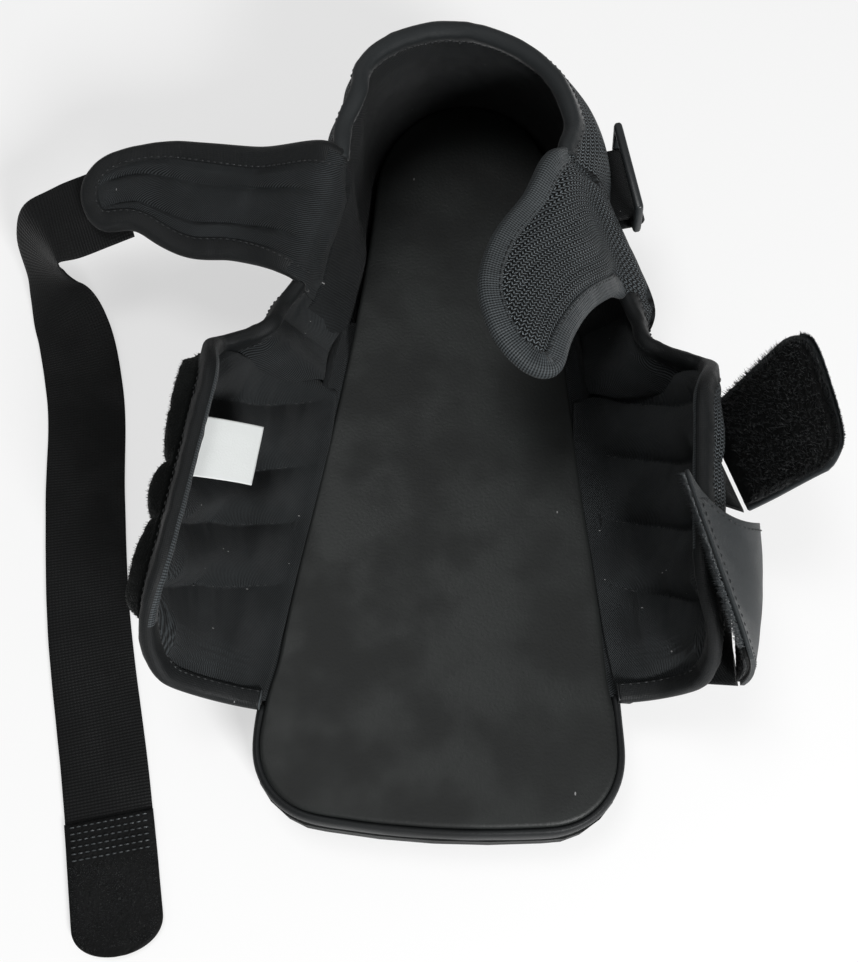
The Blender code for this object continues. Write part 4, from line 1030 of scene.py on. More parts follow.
# %% [markdown]
# ## The instep wings
# Each wing is sewn through in four places, from the hinge to the rim, which makes five stuffed
# channels. The lining is fuller than the wall that it covers, so it swells between the seams, is
# drawn into small puckers along them, and lies in fine creases beside the tape, where the curve of
# the wing leaves it slack.

# %% The lining of an instep wing
SEAM_DEPTH = 0.7
CHANNEL_DEPTH = 7.6
CHANNEL_SAG = 1.5         # 1 is a channel that is fullest in its middle
WAIST_CHANNEL = 62.0      # pattern length of the channel that runs on into the waist
CREASE_PITCH = 1.9
CREASE_RISE = {-1: 0.5, 1: 0.2}
WING_TAPE_WIDTH = 4.2
WING_TAPE_HALF = 2.7
EDGE_DEPTH = WING_TAPE_HALF - 0.7   # the wall under the tape
LIP_LAP = 0.8


def seam_at(seam, v):
    """Where a slanting seam lies on the pattern at a height v."""
    return mix(*seam, v)


def wing_swell(side, u, v, fullness):
    """How full the channels of a wing are; the cloth of the waist belongs to the first one. Each
    channel sags towards the toe, where it is fullest."""
    seams = [seam_at(seam, v) for seam in WING_SEAMS[side]]
    ends = [seams[0] - WAIST_CHANNEL, *seams, wings[side][1] + 3 + 0 * v]
    return swell(u, ends, fullness, CHANNEL_SAG)


def beside_edge(side, u, v):
    """How far a place of a wing is from the rim or from the front edge, whichever is nearer."""
    form, length = wings[side]
    tall = form.heights(u[0])
    return np.minimum(tall * (1 - v), length - u)


def lip(side, u):
    """How far the lining runs on over the hinge, into the corner beside the footbed's edge."""
    rear, along, _ = hinge(side)
    place = rear[:2] + along[:2] * np.asarray(u)[..., None]
    return np.maximum(np.abs(place[..., 0]) - half_width(place[..., 1]) + LIP_LAP, 1.0)


def wing_inner(side, seed):
    """The depth of a wing's lining, over its own channels."""

    def depth(u, v, up):
        drift = 0.8 * uneven(up, u * 0, (11, 50), seed)
        full = wing_swell(side, u + drift, v, 0.62)
        near = beside_edge(side, u, v)
        reach = lip(side, u)
        edge = ramp(up, -6, 14) * (1 - 0.45 * (1 - ramp(near, 3, 18)))
        puckers = uneven(u * 0.4, up, (40, 2.6), seed + 1) * (1 - full)
        lumps = 0.5 * uneven(u, up, (13, 17), seed + 2) + 0.2 * uneven(u, up, (4, 6), seed + 3)
        lines = np.sin(2 * math.pi * (near / CREASE_PITCH + 0.7 * uneven(u, up, (14, 10), seed + 4)))
        slack = ramp(near, 3.2, 5) * (1 - ramp(near, 11, 19)) * np.minimum(full * 1.5, 1)
        slack = slack * ramp(u, 2, 16)
        swelled = SEAM_DEPTH + (CHANNEL_DEPTH - SEAM_DEPTH) * full * edge
        detail = 0.5 * puckers + lumps * full + CREASE_RISE[side] * lines * slack
        whole = mix(EDGE_DEPTH, swelled + detail * ramp(up, -2, 6),
                    ramp(near, WING_TAPE_WIDTH - 0.6, 9))
        dip = 1 - ramp(up, -reach, -reach + 3)
        return whole * ramp(up, -reach - 2, 5) - 0.4 * (1 - ramp(up, -reach, 3)) - 0.9 * dip

    return depth


def wing_outer(side, seed):
    """The depth of a wing's mesh, which is flatter than its lining."""

    def depth(u, v, up):
        full = wing_swell(side, u, v, 0.5)
        near = beside_edge(side, u, v)
        reach = lip(side, u)
        whole = mix(EDGE_DEPTH, 2.6 + 1.5 * full + 0.25 * uneven(u, up, (21, 13), seed),
                    ramp(near, WING_TAPE_WIDTH - 0.6, 12))
        root = np.where(up < -1.5, 0.6, mix(0.6, whole, ramp(up, -1.5, 0.5)))
        return root + 1.0 * (1 - ramp(up, -reach, -reach + 3))

    return depth


FOOT_SLOPE = 78.0         # how far a wing's profile runs outwards at its foot, for each v


def wing_foot(side):
    """The lowest v of a wing: its cloth runs on over the hinge."""
    return lambda u: -lip(side, u) / FOOT_SLOPE * ramp(u, -9, 0)


WING_NODES = ("shell", "lining", "pad_1", "pad_2", "pad_3", "pad_4", "pad_5")
WAIST_START = CREASE_TO - UPPER_END - WAIST_GAP + 0.2
wing_parts = {-1: [], 1: []}
for side, label in SIDES.items():
    form, length = wings[side]
    us = np.linspace(WAIST_START, length, 210)
    made = padded_wall(f"{label}_instep_wing", form, us, 160, wing_foot(side), always(1.0),
                       wing_inner(side, 20 if side < 0 else 40), wing_outer(side, 9),
                       [lining, mesh_cloth])
    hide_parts(f"{label}_waist_pad", *[f"{label}_instep_{part}" for part in WING_NODES])
    wing_parts[side].append(made)

# %% The tapes of the instep wings
KNIT_PART = {-1: (-92.0, 2.0), 1: (-62.0, 2.0)}     # the stretch of y where the tape looks knitted
wing_lines, wing_middles = {}, {}
for side, label in SIDES.items():
    form, length = wings[side]
    top = line_on(form, np.linspace(WAIST_START, length, 240), 1.0)
    front = line_on(form, np.full(90, length), np.linspace(0.99, wing_foot(side)(length), 90))
    wing_lines[side] = joined(top, front)
    wing_middles[side] = form.place(length / 2, 0.2)
    made = tape(f"{label}_instep_tape", wing_lines[side], wing_middles[side], WING_TAPE_WIDTH,
                WING_TAPE_HALF, [knit_tape, dark_tape], nose=2.4, soften=30, seed=30 + side,
                inner_part=KNIT_PART[side])
    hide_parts(f"{label}_instep_binding", f"{label}_notch_binding")
    wing_parts[side].append(made)

# %% The seams of the instep wings
SEAM_V = (0.06, 0.94)
SEAM_RISE = 2.75          # the mesh along a seam
for side, label in SIDES.items():
    heights = np.linspace(*SEAM_V, 80)
    rows = [line_on(wings[side][0], seam_at(seam, heights), heights, offset)
            for seam in WING_SEAMS[side] for offset in (-SEAM_DEPTH - 0.1, SEAM_RISE)]
    rows += beside_tape(wing_lines[side], wing_middles[side], WING_TAPE_WIDTH - 0.8, WING_TAPE_HALF)
    wing_parts[side].append(stitches(f"{label}_instep_stitches", rows, facing=True))

# %% The instep wings' pieces, baked in place
for side, label in SIDES.items():
    for part in wing_parts[side]:
        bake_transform(part)

# %% [markdown]
# ## The ankle wings
# The ankle wings are quilted lengthwise. The left one lies open with its lining up; the right one
# stands over the shoe and shows its mesh. Both turn on their crease, so their cloth reaches a little
# way down the collar and bends there.

# %% The walls of the ankle wings
ANKLE_SEAMS = {-1: (0.27, 0.65), 1: (0.34, 0.66)}
ANKLE_DEPTH = {-1: 4.8, 1: 3.4}
ANKLE_TAPE_WIDTH = 5.2
ANKLE_TAPE_HALF = 3.1
ANKLE_EDGE_DEPTH = ANKLE_TAPE_HALF - 0.7
ANKLE_ROUND = {-1: (8.0, 9.0), 1: (3.5, 9.5)}       # corner radius at the tip, lower and upper


def ankle_limits(side):
    """How a wing's tip is rounded: its lowest and its highest v."""
    form = ankles[side]
    end = form.stops[-1]

    def cut(u, radius):
        t = np.clip((np.asarray(u) - (end - radius)) / radius, 0, 1)
        return radius * (1 - np.sqrt(1 - t * t * 0.999)) / form.height(end)

    low, high = ANKLE_ROUND[side]
    return (lambda u: cut(u, low)), (lambda u: 1 - cut(u, high))


def ankle_free(side, u, v):
    """0 under the tape of an ankle wing, and 1 in the open cloth."""
    form = ankles[side]
    tall = form.heights(u[0])
    foot, rim = ankle_limits(side)
    near = np.minimum(tall * (v - foot(u)), tall * (rim(u) - v))
    near = np.minimum(near, form.stops[-1] - u)
    return ramp(near, ANKLE_TAPE_WIDTH - 0.8, ANKLE_TAPE_WIDTH + 4)


def ankle_depth(side, inner, seed):
    """The depth of an ankle wing's lining, or of the mesh on its other face."""
    end = ankles[side].stops[-1]

    def depth(u, v, up):
        full = swell(v, (0.0, *ANKLE_SEAMS[side], 1.0), 0.38 if inner else 0.35)
        seamed = ramp(u, 2 if inner else 4, 12) * (1 - ramp(u, end - 14, end - 4))
        if inner:
            pinched = 1 - 0.3 * (1 - ramp(abs(u), 0, 4)) - 0.35 * (1 - ramp(u, -12, -8.5))
            quilted = ANKLE_DEPTH[side] * (1 - 0.85 * seamed * (1 - full)) * pinched
            puckers = uneven(u, v * 3, (2.7, 3), seed) * (1 - full) * seamed
            lumps = uneven(u, up, (12, 10), seed + 1) * 0.4 + uneven(u, up, (4, 5), seed + 2) * 0.2
            whole = quilted * (1 - 0.25 * ramp(u, end - 12, end)) + 0.35 * puckers + lumps
        else:
            rest = 4.1 - 1.1 * seamed * (1 - full) - 0.8 * ramp(u, end - 12, end)
            whole = rest + 0.25 * uneven(u, up, (14, 11), seed)
        return mix(whole, ANKLE_EDGE_DEPTH, 1 - ankle_free(side, u, v))

    return depth


ankle_parts = {-1: [], 1: []}
for side, label in SIDES.items():
    form = ankles[side]
    us = np.linspace(-CREASE_TUCK + 1, form.stops[-1], 130)
    made = padded_wall(f"{label}_ankle_wing", form, us, 56, *ankle_limits(side),
                       ankle_depth(side, True, 60 + side), ankle_depth(side, False, 64 + side),
                       [lining, mesh_cloth])
    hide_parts(*[f"{label}_ankle_{part}" for part in WING_NODES[:5]])
    ankle_parts[side].append(made)

# %% The tapes and seams of the ankle wings
TAPE_LAP = 2.0            # how far two tapes run over each other
for side, label in SIDES.items():
    form = ankles[side]
    end = form.stops[-1]
    foot, rim = ankle_limits(side)
    out = np.linspace(0.5, end, 160)
    line = joined(
        line_on(upper, side * np.linspace(CREASE_FROM - TAPE_LAP, CREASE_FROM - 0.5, 5), 1.0),
        line_on(form, out, rim(out)),
        line_on(form, np.full(20, end), np.linspace(rim(end), foot(end), 20)),
        line_on(form, out[::-1], foot(out[::-1])),
    )
    middle = form.place(end / 2, 0.5)
    made = tape(f"{label}_ankle_tape", line, middle, ANKLE_TAPE_WIDTH, ANKLE_TAPE_HALF,
                [knit_tape if side > 0 else dark_tape] * 2, nose=2.5, soften=14, seed=50 + side,
                end_share=0.7)
    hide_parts(f"{label}_ankle_binding")
    ankle_parts[side].append(made)
    rows = [line_on(form, np.linspace(5, end - 9, 120), v, offset)
            for v in ANKLE_SEAMS[side] for offset in (-0.24 * ANKLE_DEPTH[side], 3.1)]
    rows += beside_tape(line, middle, ANKLE_TAPE_WIDTH - 1.0, ANKLE_TAPE_HALF)
    ankle_parts[side].append(stitches(f"{label}_ankle_stitches", rows, facing=True))

# %% The ankle wings' pieces, baked in place
ANKLE_BEND = 9.0          # a distance from the crease, on both sides
for side, label in SIDES.items():
    form = ankles[side]
    axis = np.array(joints[f"{label}_ankle_fold"]["axis"])
    across = form.place(ANKLE_BEND, 0.5) - form.place(-ANKLE_BEND, 0.5)
    across = unit(across - axis * (across @ axis)) * ANKLE_BEND
    centre = form.place(0.0, 0.5)
    for part in ankle_parts[side]:
        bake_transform(part)

# %% [markdown]
# ## The footbed and what holds it
# The footbed is a thin padded sheet that covers the whole sole. Its edge is rolled under. A rolled
# band closes the toe, and a soft roll of lining fills the corner between the footbed and each wing,
# round the line that the wing turns on, so that the wing can move without opening a gap.

# %% The footbed
FOOTBED_RINGS = (         # in from the edge, up from the bottom
    (1.2, 0.0), (0.3, 0.3), (0.0, 1.0), (0.0, 1.7), (0.25, 2.4), (0.8, 2.85), (1.7, 3.0), (4.0, 2.95),
)
FOOTBED_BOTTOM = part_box("footbed")[0].z / MM
SPINE_HEEL, SPINE_TOE = 98.0, -100.0
TOE_START = {-1: -107.5, 1: HINGE_FRONT[1] + 0.5}
HOLLOWS = ((0.5, 95, 26, 32), (0.4, -80, 34, 38))     # depth, place in y, half width, half length
FOOTBED_WELD = 0.05


def closed_steps(points, step):
    """A closed line with even steps, rounded a little."""
    loop = np.concatenate([points, points[:1]])
    run = run_along(loop)
    found = read_at(np.linspace(0, run[-1], int(run[-1] / step), endpoint=False), run, loop)
    for _ in range(6):
        found = (np.roll(found, 1, 0) + 2 * found + np.roll(found, -1, 0)) / 4
    return found


edge_line = closed_steps(OUTLINE, 2.0)
edge_out = np.roll(edge_line, 1, 0) - np.roll(edge_line, -1, 0)
edge_out = unit(np.stack([-edge_out[:, 1], edge_out[:, 0]], -1))
edge_out = edge_out * np.sign((edge_out * edge_line).sum())
spine = np.stack([edge_line[:, 0] * 0, np.clip(edge_line[:, 1], SPINE_TOE, SPINE_HEEL)], -1)


def hollow(x, y):
    """How the foot has pressed the footbed: the heel and the ball a little lower, and slight lumps."""
    pressed = sum(depth * np.exp(-((x / wide)**2 + ((y - middle) / tall)**2))
                  for depth, middle, wide, tall in HOLLOWS)
    return -pressed + 0.14 * uneven(x, y, (22, 31), 71) + 0.06 * uneven(x, y, (7, 9), 72)


rings = []
widened = (1.4 * (1 - ramp(edge_line[:, 1], TOE_START[-1], TOE_START[-1] + 16)))[:, None]
for inwards, rise in FOOTBED_RINGS:
    flat = edge_line - edge_out * (inwards - widened)
    rings.append(np.column_stack([flat, np.full(len(flat), FOOTBED_BOTTOM + rise)]))
last = edge_line - edge_out * FOOTBED_RINGS[-1][0]
for share in np.linspace(0, 1, 22)[1:]:
    flat = mix(last, spine, share)
    lift = FOOTBED_BOTTOM + FOOTBED_RINGS[-1][1] + hollow(*flat.T) * ramp(share, 0, 0.3)
    rings.append(np.column_stack([flat, lift]))
footbed = piece("footbed_sheet", np.concatenate(rings),
                grid_faces(len(rings), len(edge_line), closed=True)
                + [tuple(range(len(edge_line)))], [footbed_skin])
face_outwards(footbed, weld=FOOTBED_WELD * MM)
settle(footbed, "sole", "footbed_fabric", "footbed")
print("footbed faces:", len(footbed.data.polygons))

# %% The band round the toe
TOE_SECTION = (           # out from the footbed's edge, height
    (1.0, 12.4), (0.9, 22.2), (1.5, 23.2), (2.0, 23.7), (2.6, 23.8), (3.2, 23.5), (3.7, 22.8),
    (4.1, 21.5), (4.3, 19.0), (4.2, 15.0), (4.0, 12.8), (3.4, 12.4),
)
toe = np.flatnonzero(edge_line[:, 1] < np.where(edge_line[:, 0] < 0, TOE_START[-1], TOE_START[1]))
gap = int(np.argmax(np.diff(toe))) if np.diff(toe).max() > 1 else -1
toe = np.concatenate([toe[gap + 1:], toe[:gap + 1]])
section = np.array(TOE_SECTION)
run = run_along(edge_line[toe])
away = section[:, 0] + 0.18 * uneven(run[:, None], np.arange(len(section)) * 1.0, (9, 3), 75)
flat = edge_line[toe, None] + edge_out[toe, None] * away[..., None]
high = np.broadcast_to(section[:, 1], away.shape)
toe_band = tube("toe_band", np.concatenate([flat, high[..., None]], -1), [edge_skin], run,
                run_along(section))
settle(toe_band, "sole", "footbed_fabric", "toe_rand")

# %% The rolls at the roots of the instep wings
ROOT_RADIUS = 2.2
ROOT_TAIL = 32.0          # how far a roll runs on under the waist
ROOT_STEP = 2.5
ROOT_SUNK = 4.0           # how much lower it ends under the waist
ROOT_TOP, ROOT_MIDDLE = 23.6, 22.8
ROOT_INSIDE = ((-1.4, 13.0), (-1.2, 22.6), (-0.3, 23.4))     # from the footbed's edge, height
ROOT_OUTSIDE = ((4.0, 19.5), (4.2, 15.0), (3.6, 12.6))       # from the hinge, height
for side, label in SIDES.items():
    rear, along, length = hinge(side)
    places = rear[None] + along[None] * np.arange(-ROOT_TAIL, length + 1.0, ROOT_STEP)[:, None]
    gaps = np.abs(places[:, 0]) - half_width(places[:, 1])
    rows = []
    for place, gap in zip(places, gaps):
        section = [*ROOT_INSIDE, (gap / 2, ROOT_TOP)]
        section += [(gap + ROOT_RADIUS * math.cos(a), ROOT_MIDDLE + ROOT_RADIUS * math.sin(a))
                    for a in np.radians(np.linspace(110, -20, 9))]
        section += [(gap + out, height) for out, height in ROOT_OUTSIDE]
        rows.append([(place[0] + side * (a - gap), place[1], z) for a, z in section])
    rows = np.array(rows)
    run, turn = np.arange(len(rows)) * ROOT_STEP, np.arange(rows.shape[1])
    sunk = (1 - ramp(run, 0, ROOT_TAIL * 0.6))[:, None] * ROOT_SUNK
    rows[:, :, 2] -= np.where(rows[:, :, 2] > 18, sunk, 0)
    rows[:, :, 2] += 0.25 * uneven(run[:, None], turn * 1.0, (11, 4), 77)
    roll = tube(f"{label}_root_roll", rows, [lining], run, turn * 2.0)
    settle(roll, "sole", "brushed_lining", f"{label}_side_rand")
    print(roll.name, "gap to the footbed from", round(gaps.min(), 1), "to", round(gaps.max(), 1), "mm")

# %% [markdown]
# ## The label
# A small white label is caught under the tape of the left wing. It is bare: the real one is printed,
# and this part carries no print. Only one side of it is sewn, so it lies off the lining and curls.

# %% The label
LABEL_U = (37.0, 58.5)
LABEL_SEWN_AT = 0.94      # height of its sewn side
LABEL_DEPTH = 2.4         # its sewn side, under the tape
LABEL_REACH = 22.0
LABEL_SLOPE = math.radians(36)
LABEL_THICK = 0.35
left_form = wings[-1][0]


def label_form():
    """The label as its own form: it leaves the tape at a slope, and its free side droops."""
    profiles = []
    for u, droop in zip(LABEL_U, (1.2, 1.6)):
        start = left_form.lay(u, LABEL_SEWN_AT, -LABEL_DEPTH)
        away = vec(math.cos(LABEL_SLOPE), 0.15, -math.sin(LABEL_SLOPE)) * LABEL_REACH
        sag = vec(0, 0, -droop)
        profiles.append([start, start + away / 3 + sag * 0.1, start + away * 0.67 - sag * 0.1,
                         start + away + sag])
    return Form((0, LABEL_U[1] - LABEL_U[0]), profiles, (-100, -40, 20))


def label_depth(sign):
    return lambda u, v, up: LABEL_THICK / 2 + sign * 0.1 * uneven(u, up, (5, 6), 81)


label = wall("size_tab", label_form(), np.linspace(0, LABEL_U[1] - LABEL_U[0], 40), 40, always(0.0),
             always(1.0), label_depth(1), label_depth(-1), [label_cloth, label_cloth])
settle(label, "left_instep", "label_tape", "size_label")

# %% [markdown]
# ## The closures
# The outside of the left wing carries a panel of loop pile, puffed out between the seams. The straps
# on the right wing and the end of the ankle strap carry hooks. Both kinds of fibre are short stubs
# that catch the light at the edges, so they are real geometry where an edge is seen, and a bump
# elsewhere. The hooks that stand out round the straps' tips take a lighter copy of the hook finish,
# a painted highlight.

# %% Fibres
FIBRE_SHAPE = ((0.0, 0.0, 1.0), (0.45, 0.12, 0.8), (0.8, 0.42, 0.55), (0.95, 0.85, 0.3))


def fibres(name, roots, ways, leans, length, thick, look, slot_name, seed):
    """Many short bent fibres. Each stands on its root along its way, and bends over along its lean."""
    rng = np.random.default_rng(seed)
    turns = np.arange(3) * 2 * math.pi / 3
    points, faces = [], []
    for root, way, lean in zip(roots, ways, leans):
        tall = length * rng.uniform(0.6, 1.25)
        lean = unit(lean + way * rng.uniform(-0.3, 0.3) + np.cross(way, lean) * rng.uniform(-1, 1))
        side = unit(np.cross(way, lean))
        start = 12 * len(points)
        rings = [root + way * rise * tall + lean * bend * tall
                 + (side * math.cos(a) + lean * math.sin(a)) * thin * thick / 2
                 for rise, bend, thin in FIBRE_SHAPE for a in turns]
        points.append(rings)
        faces += grid_faces(4, 3, start, closed=True)
        faces += [(start + 2, start + 1, start), (start + 9, start + 10, start + 11)]
    made = piece(name, np.concatenate(points), faces, [look])
    print(name, len(points), "fibres")
    return face_outwards(made)


def scattered(form, u_range, v_range, offset, count, seed):
    """Roots spread over part of a form, with the way outwards and the way that each fibre leans."""
    rng = np.random.default_rng(seed)
    u, v = rng.uniform(*u_range, count), rng.uniform(*v_range, count)
    away = form.normal(u, v) * np.sign(offset(u, v))[:, None]
    return form.lay(u, v, offset(u, v)), away, unit(rng.normal(size=(count, 3)))


# %% The loop panel on the left wing
LOOP_U = (11.0, 104.9)
LOOP_V = (0.3, 0.93)
LOOP_SEAMS = (4.0, 54.0, 73.0, 114.0)
LOOP_BACK = -2.4          # its hidden face
LOOP_COUNT, LOOP_LENGTH, LOOP_WIDTH = 9000, 0.65, 0.22


def loop_outer(u, v, up):
    """The face of the loop panel: full between its seams, and level at its edges."""
    full = swell(np.clip(u, LOOP_SEAMS[0], LOOP_SEAMS[-1]), LOOP_SEAMS, 0.4)
    ends = ramp(u, LOOP_U[0], LOOP_U[0] + 4) * (1 - ramp(u, LOOP_U[1] - 4, LOOP_U[1]))
    sides = ramp(v, LOOP_V[0], LOOP_V[0] + 0.05) * (1 - ramp(v, LOOP_V[1] - 0.05, LOOP_V[1]))
    return 3.6 + (0.4 + 4.4 * full) * ends * sides + 0.3 * uneven(u, up, (2.2, 2.2), 83)


loop_panel = wall("loop_panel", left_form, np.linspace(*LOOP_U, 150), 60, always(LOOP_V[0]),
                  always(LOOP_V[1]), level(LOOP_BACK), loop_outer, [pile_fibre, pile_fibre])
settle(loop_panel, "left_instep", "loop_pile", "left_loop_panel")

pile = fibres("loop_pile", *scattered(left_form, LOOP_U, LOOP_V,
                                      lambda u, v: loop_outer(u, v, v * 69) - 0.2, LOOP_COUNT, 84),
              LOOP_LENGTH, LOOP_WIDTH, pile_fibre, "loop_pile", 85)
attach(pile, "left_instep")

# %% [markdown]
# ## The straps of the right wing
# Each strap is two layers: a smooth backing and a strip of hooks, sewn together round the edge and
# anchored to the outside of the wing. The upper one lies open and shows its hooks. The lower one is
# bent in over the wing and shows its backing.

# %% The forms of the straps
STRAP_ENDS = {            # rear and front corner of each tip
    "upper": ((117, 20, 76), (127, -31, 76)),
    "lower": ((69, -40, 90), (90, -97, 79)),
}
STRAP_ROOTS = {"upper": (2.0, -40.0), "lower": (-46.0, -104.0)}
STRAP_WIDTH = {"upper": 44.0, "lower": 61.0}
STRAP_BLUNT = {"upper": 0.12, "lower": 0.04}
ROOT_GATHER = {"upper": 0.0, "lower": 6.0}      # how far the front end of the root is drawn back


def strap_form(kind):
    """A strap's form: across it from its rear edge, and up from its root to its tip."""
    middle, along = joint_line(f"{kind}_strap_peel")
    along = along * -np.sign(along[1])
    half = (STRAP_ROOTS[kind][0] - STRAP_ROOTS[kind][1]) / abs(along[1]) / 2
    rear, front = [vec(*corner) for corner in STRAP_ENDS[kind]]
    profiles, shares = [], np.linspace(0, 1, 9)
    for share in shares:
        root = middle + along * (half * (2 * share - 1) - ROOT_GATHER[kind] * share)
        tip = mix(rear, front, share)
        tip = tip + (root - tip) * STRAP_BLUNT[kind] * (2 * share - 1)**4
        if kind == "upper":
            first = root + (tip - root) * 0.35 + vec(2, 0, 3)
            second = root + (tip - root) * 0.7 + vec(-1, 0, 3)
        else:
            bulge = vec(3, 0, 0) * 4 * share * (1 - share)
            first = root + vec(16, 3, 23) * (1 - share) + vec(0, 0, 12) * share + bulge
            second = root + vec(-12, -24, 42) * (1 - share) + vec(-2, 0, 24) * share + bulge
        profiles.append([root, first, second, tip])
    return Form(STRAP_WIDTH[kind] * shares, profiles, (0, -40, 60))


straps = {kind: strap_form(kind) for kind in STRAP_ENDS}

# %% The layers of the straps
STRAP_CORNER = {"upper": 7.0, "lower": 4.0}
STRAP_SEED = {"upper": 90, "lower": 94}
HOOK_THICK = 1.3
BACKING_THICK = 1.25
LAYER_GAP = 0.1           # between the backing and the strap's middle
MARGINS = {"cloth": 0.0, "hooks": 1.6, "fibres": 1.8, "sewing": 3.6, "fringe": 0.3}


def strap_limits(kind, margin):
    """How far a strap reaches at each place across it, with its corners rounded."""
    width, round_off = STRAP_WIDTH[kind], STRAP_CORNER[kind]

    def rim(u):
        from_side = np.minimum(u, width - u) - margin
        t = np.clip(1 - from_side / round_off, 0, 1)
        height = straps[kind].height(width / 2)
        return 1 - (margin + round_off * (1 - np.sqrt(1 - 0.999 * t * t))) / height

    return rim


strap_pieces = {}
for kind, form in straps.items():
    width, seed = STRAP_WIDTH[kind], STRAP_SEED[kind]
    backing = wall(f"{kind}_strap_cloth", form, np.linspace(0, width, 60), 60, always(0.0),
                   strap_limits(kind, MARGINS["cloth"]), level(LAYER_GAP),
                   lambda u, v, up: BACKING_THICK + 0.1 * uneven(u, up, (6, 8), seed),
                   [strap_cloth, strap_cloth])
    hooks = wall(f"{kind}_strap_hooks", form, np.linspace(1.3, width - 1.3, 90), 90, always(0.01),
                 strap_limits(kind, MARGINS["hooks"]),
                 lambda u, v, up: HOOK_THICK + 0.22 * uneven(u, up, (0.9, 0.9), seed + 1),
                 level(-0.05), [hook_base, hook_base])
    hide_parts(f"{kind}_strap_backing")
    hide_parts(f"{kind}_strap_hook")
    strap_pieces[kind] = (backing, hooks)
    print(kind, "strap length", round(form.height(width / 2), 1))

# %% The hooks at the straps' edges, and their sewing
EDGE_HOOKS, INNER_HOOKS, FRINGE_COUNT = 1500, 2600, 1300
FRINGE_LENGTH = {"upper": 1.0, "lower": 1.35}
HOOK_LENGTH = {"upper": 1.15, "lower": 0.9}
HOOK_WIDTH, FRINGE_WIDTH = 0.26, 0.34
STRAP_SEWING = 3.0        # from a strap's sides to its stitches


def hook_roots(kind, rng):
    """Roots, ways and leans of a strap's hooks: two thirds along its sides, one third at its tip,
    and then a thin scatter over the rest."""
    form, width = straps[kind], STRAP_WIDTH[kind]
    rim = strap_limits(kind, MARGINS["fibres"])
    third = EDGE_HOOKS // 3
    across = np.concatenate([rng.uniform(1, 3.2, third), width - rng.uniform(1, 3.2, third),
                             rng.uniform(2, width - 2, third)])
    sides, tip = across[:2 * third], across[2 * third:]
    up_to = np.concatenate([rng.uniform(0.1, 0.97, 2 * third) * rim(sides),
                            rim(tip) - rng.uniform(0, 0.045, third)])
    rest = scattered(form, (2, width - 2), (0.1, 0.9), lambda u, v: 0 * u - HOOK_THICK + 0.1,
                     INNER_HOOKS, 99)
    roots = form.lay(across, up_to, -HOOK_THICK + 0.1)
    away = unit(roots - form.place(width / 2, 0.45))
    ways = -form.normal(across, up_to) + 0.5 * away
    return (np.concatenate([roots, rest[0]]), unit(np.concatenate([ways, rest[1]])),
            np.concatenate([away, rest[2]]))


def fringe_roots(kind, rng):
    """Roots, ways and leans of the hooks that stand out round a strap's tip."""
    form, width = straps[kind], STRAP_WIDTH[kind]
    tips = rng.uniform(3, width - 3, FRINGE_COUNT)
    ends = strap_limits(kind, MARGINS["fringe"])(tips)
    outwards = unit(form.place(tips, ends) - form.place(tips, ends - 0.03))
    inwards = -form.normal(tips, ends)
    roots = form.lay(tips, ends, -rng.uniform(0.2, HOOK_THICK, FRINGE_COUNT))
    return roots, unit(outwards + 0.5 * inwards), inwards


for kind, form in straps.items():
    width = STRAP_WIDTH[kind]
    rng = np.random.default_rng(98)
    edge_hooks = fibres(f"{kind}_strap_fibres", *hook_roots(kind, rng), HOOK_LENGTH[kind],
                        HOOK_WIDTH, hook_fibre, "hook_tape", 100)
    fringe = fibres(f"{kind}_strap_fringe", *fringe_roots(kind, rng), FRINGE_LENGTH[kind],
                    FRINGE_WIDTH, hook_painted_highlight, "hook_tape", 101)
    inset = np.linspace(0.02, 0.93, 70)
    top = np.linspace(3.5, width - 3.5, 60)
    rim = strap_limits(kind, MARGINS["fibres"])
    rows = [line_on(form, np.full(70, place), inset * rim(np.full(70, place)), BACKING_THICK)
            for place in (STRAP_SEWING, width - STRAP_SEWING)]
    rows.append(line_on(form, top, strap_limits(kind, MARGINS["sewing"])(top), BACKING_THICK))
    sewing = stitches(f"{kind}_strap_stitches", rows)
    backing, hooks = strap_pieces[kind]
    for part, finish in ((fringe, "hook_tape"), (backing, "strap_backing"), (hooks, "hook_tape"),
                         (edge_hooks, "hook_tape"), (sewing, "strap_backing")):
        settle(part, f"{kind}_strap", finish)

# %% The anchors of the straps
ANCHOR_V = (0.28, 0.6)
ANCHOR_INSET = 4.0        # from the wing's front edge
ROOT_ENDS = (             # where the cloth ends, from the line that the strap peels about
    (-2.0, 0.0, -2.7),    # at the rear
    (-0.4, 0.0, -2.7),    # at the front
)
ROOT_V = 0.62
ROOT_DEPTH = 3.5
ROOT_HALF = 0.8
ANCHOR_DEPTH = (4.2, 6.1)
WING_SLANT = 7.04         # degrees between the right wing's hinge and the middle line
right_form = wings[1][0]


def along_wing(y):
    """The distance along the right wing of a place at y."""
    return (HINGE_REAR - y) / math.cos(math.radians(WING_SLANT))


def strap_root(kind, rear, front):
    """The cloth between the outside of the wing and the line that a strap peels about."""
    middle, along = joint_line(f"{kind}_strap_peel")
    ys = np.linspace(rear - 0.5, front + ROOT_GATHER[kind] + 0.5, 40)
    outer = middle + along * ((ys - middle[1]) / along[1])[:, None]
    wing = right_form.lay(along_wing(ys), ROOT_V, ROOT_DEPTH)
    inwards = unit(wing - outer)
    outer = outer + np.linspace(*ROOT_ENDS, len(ys))
    skin = outer[:, None] + (wing - outer)[:, None] * np.linspace(0, 1, 12)[:, None]
    rise = unit(np.cross(inwards, along))[:, None] * ROOT_HALF
    rows = np.concatenate([skin + rise, (skin - rise)[:, ::-1]], axis=1)
    return tube(f"{kind}_strap_root", rows, [anchor_cloth], -ys, np.arange(rows.shape[1]) * 1.2)


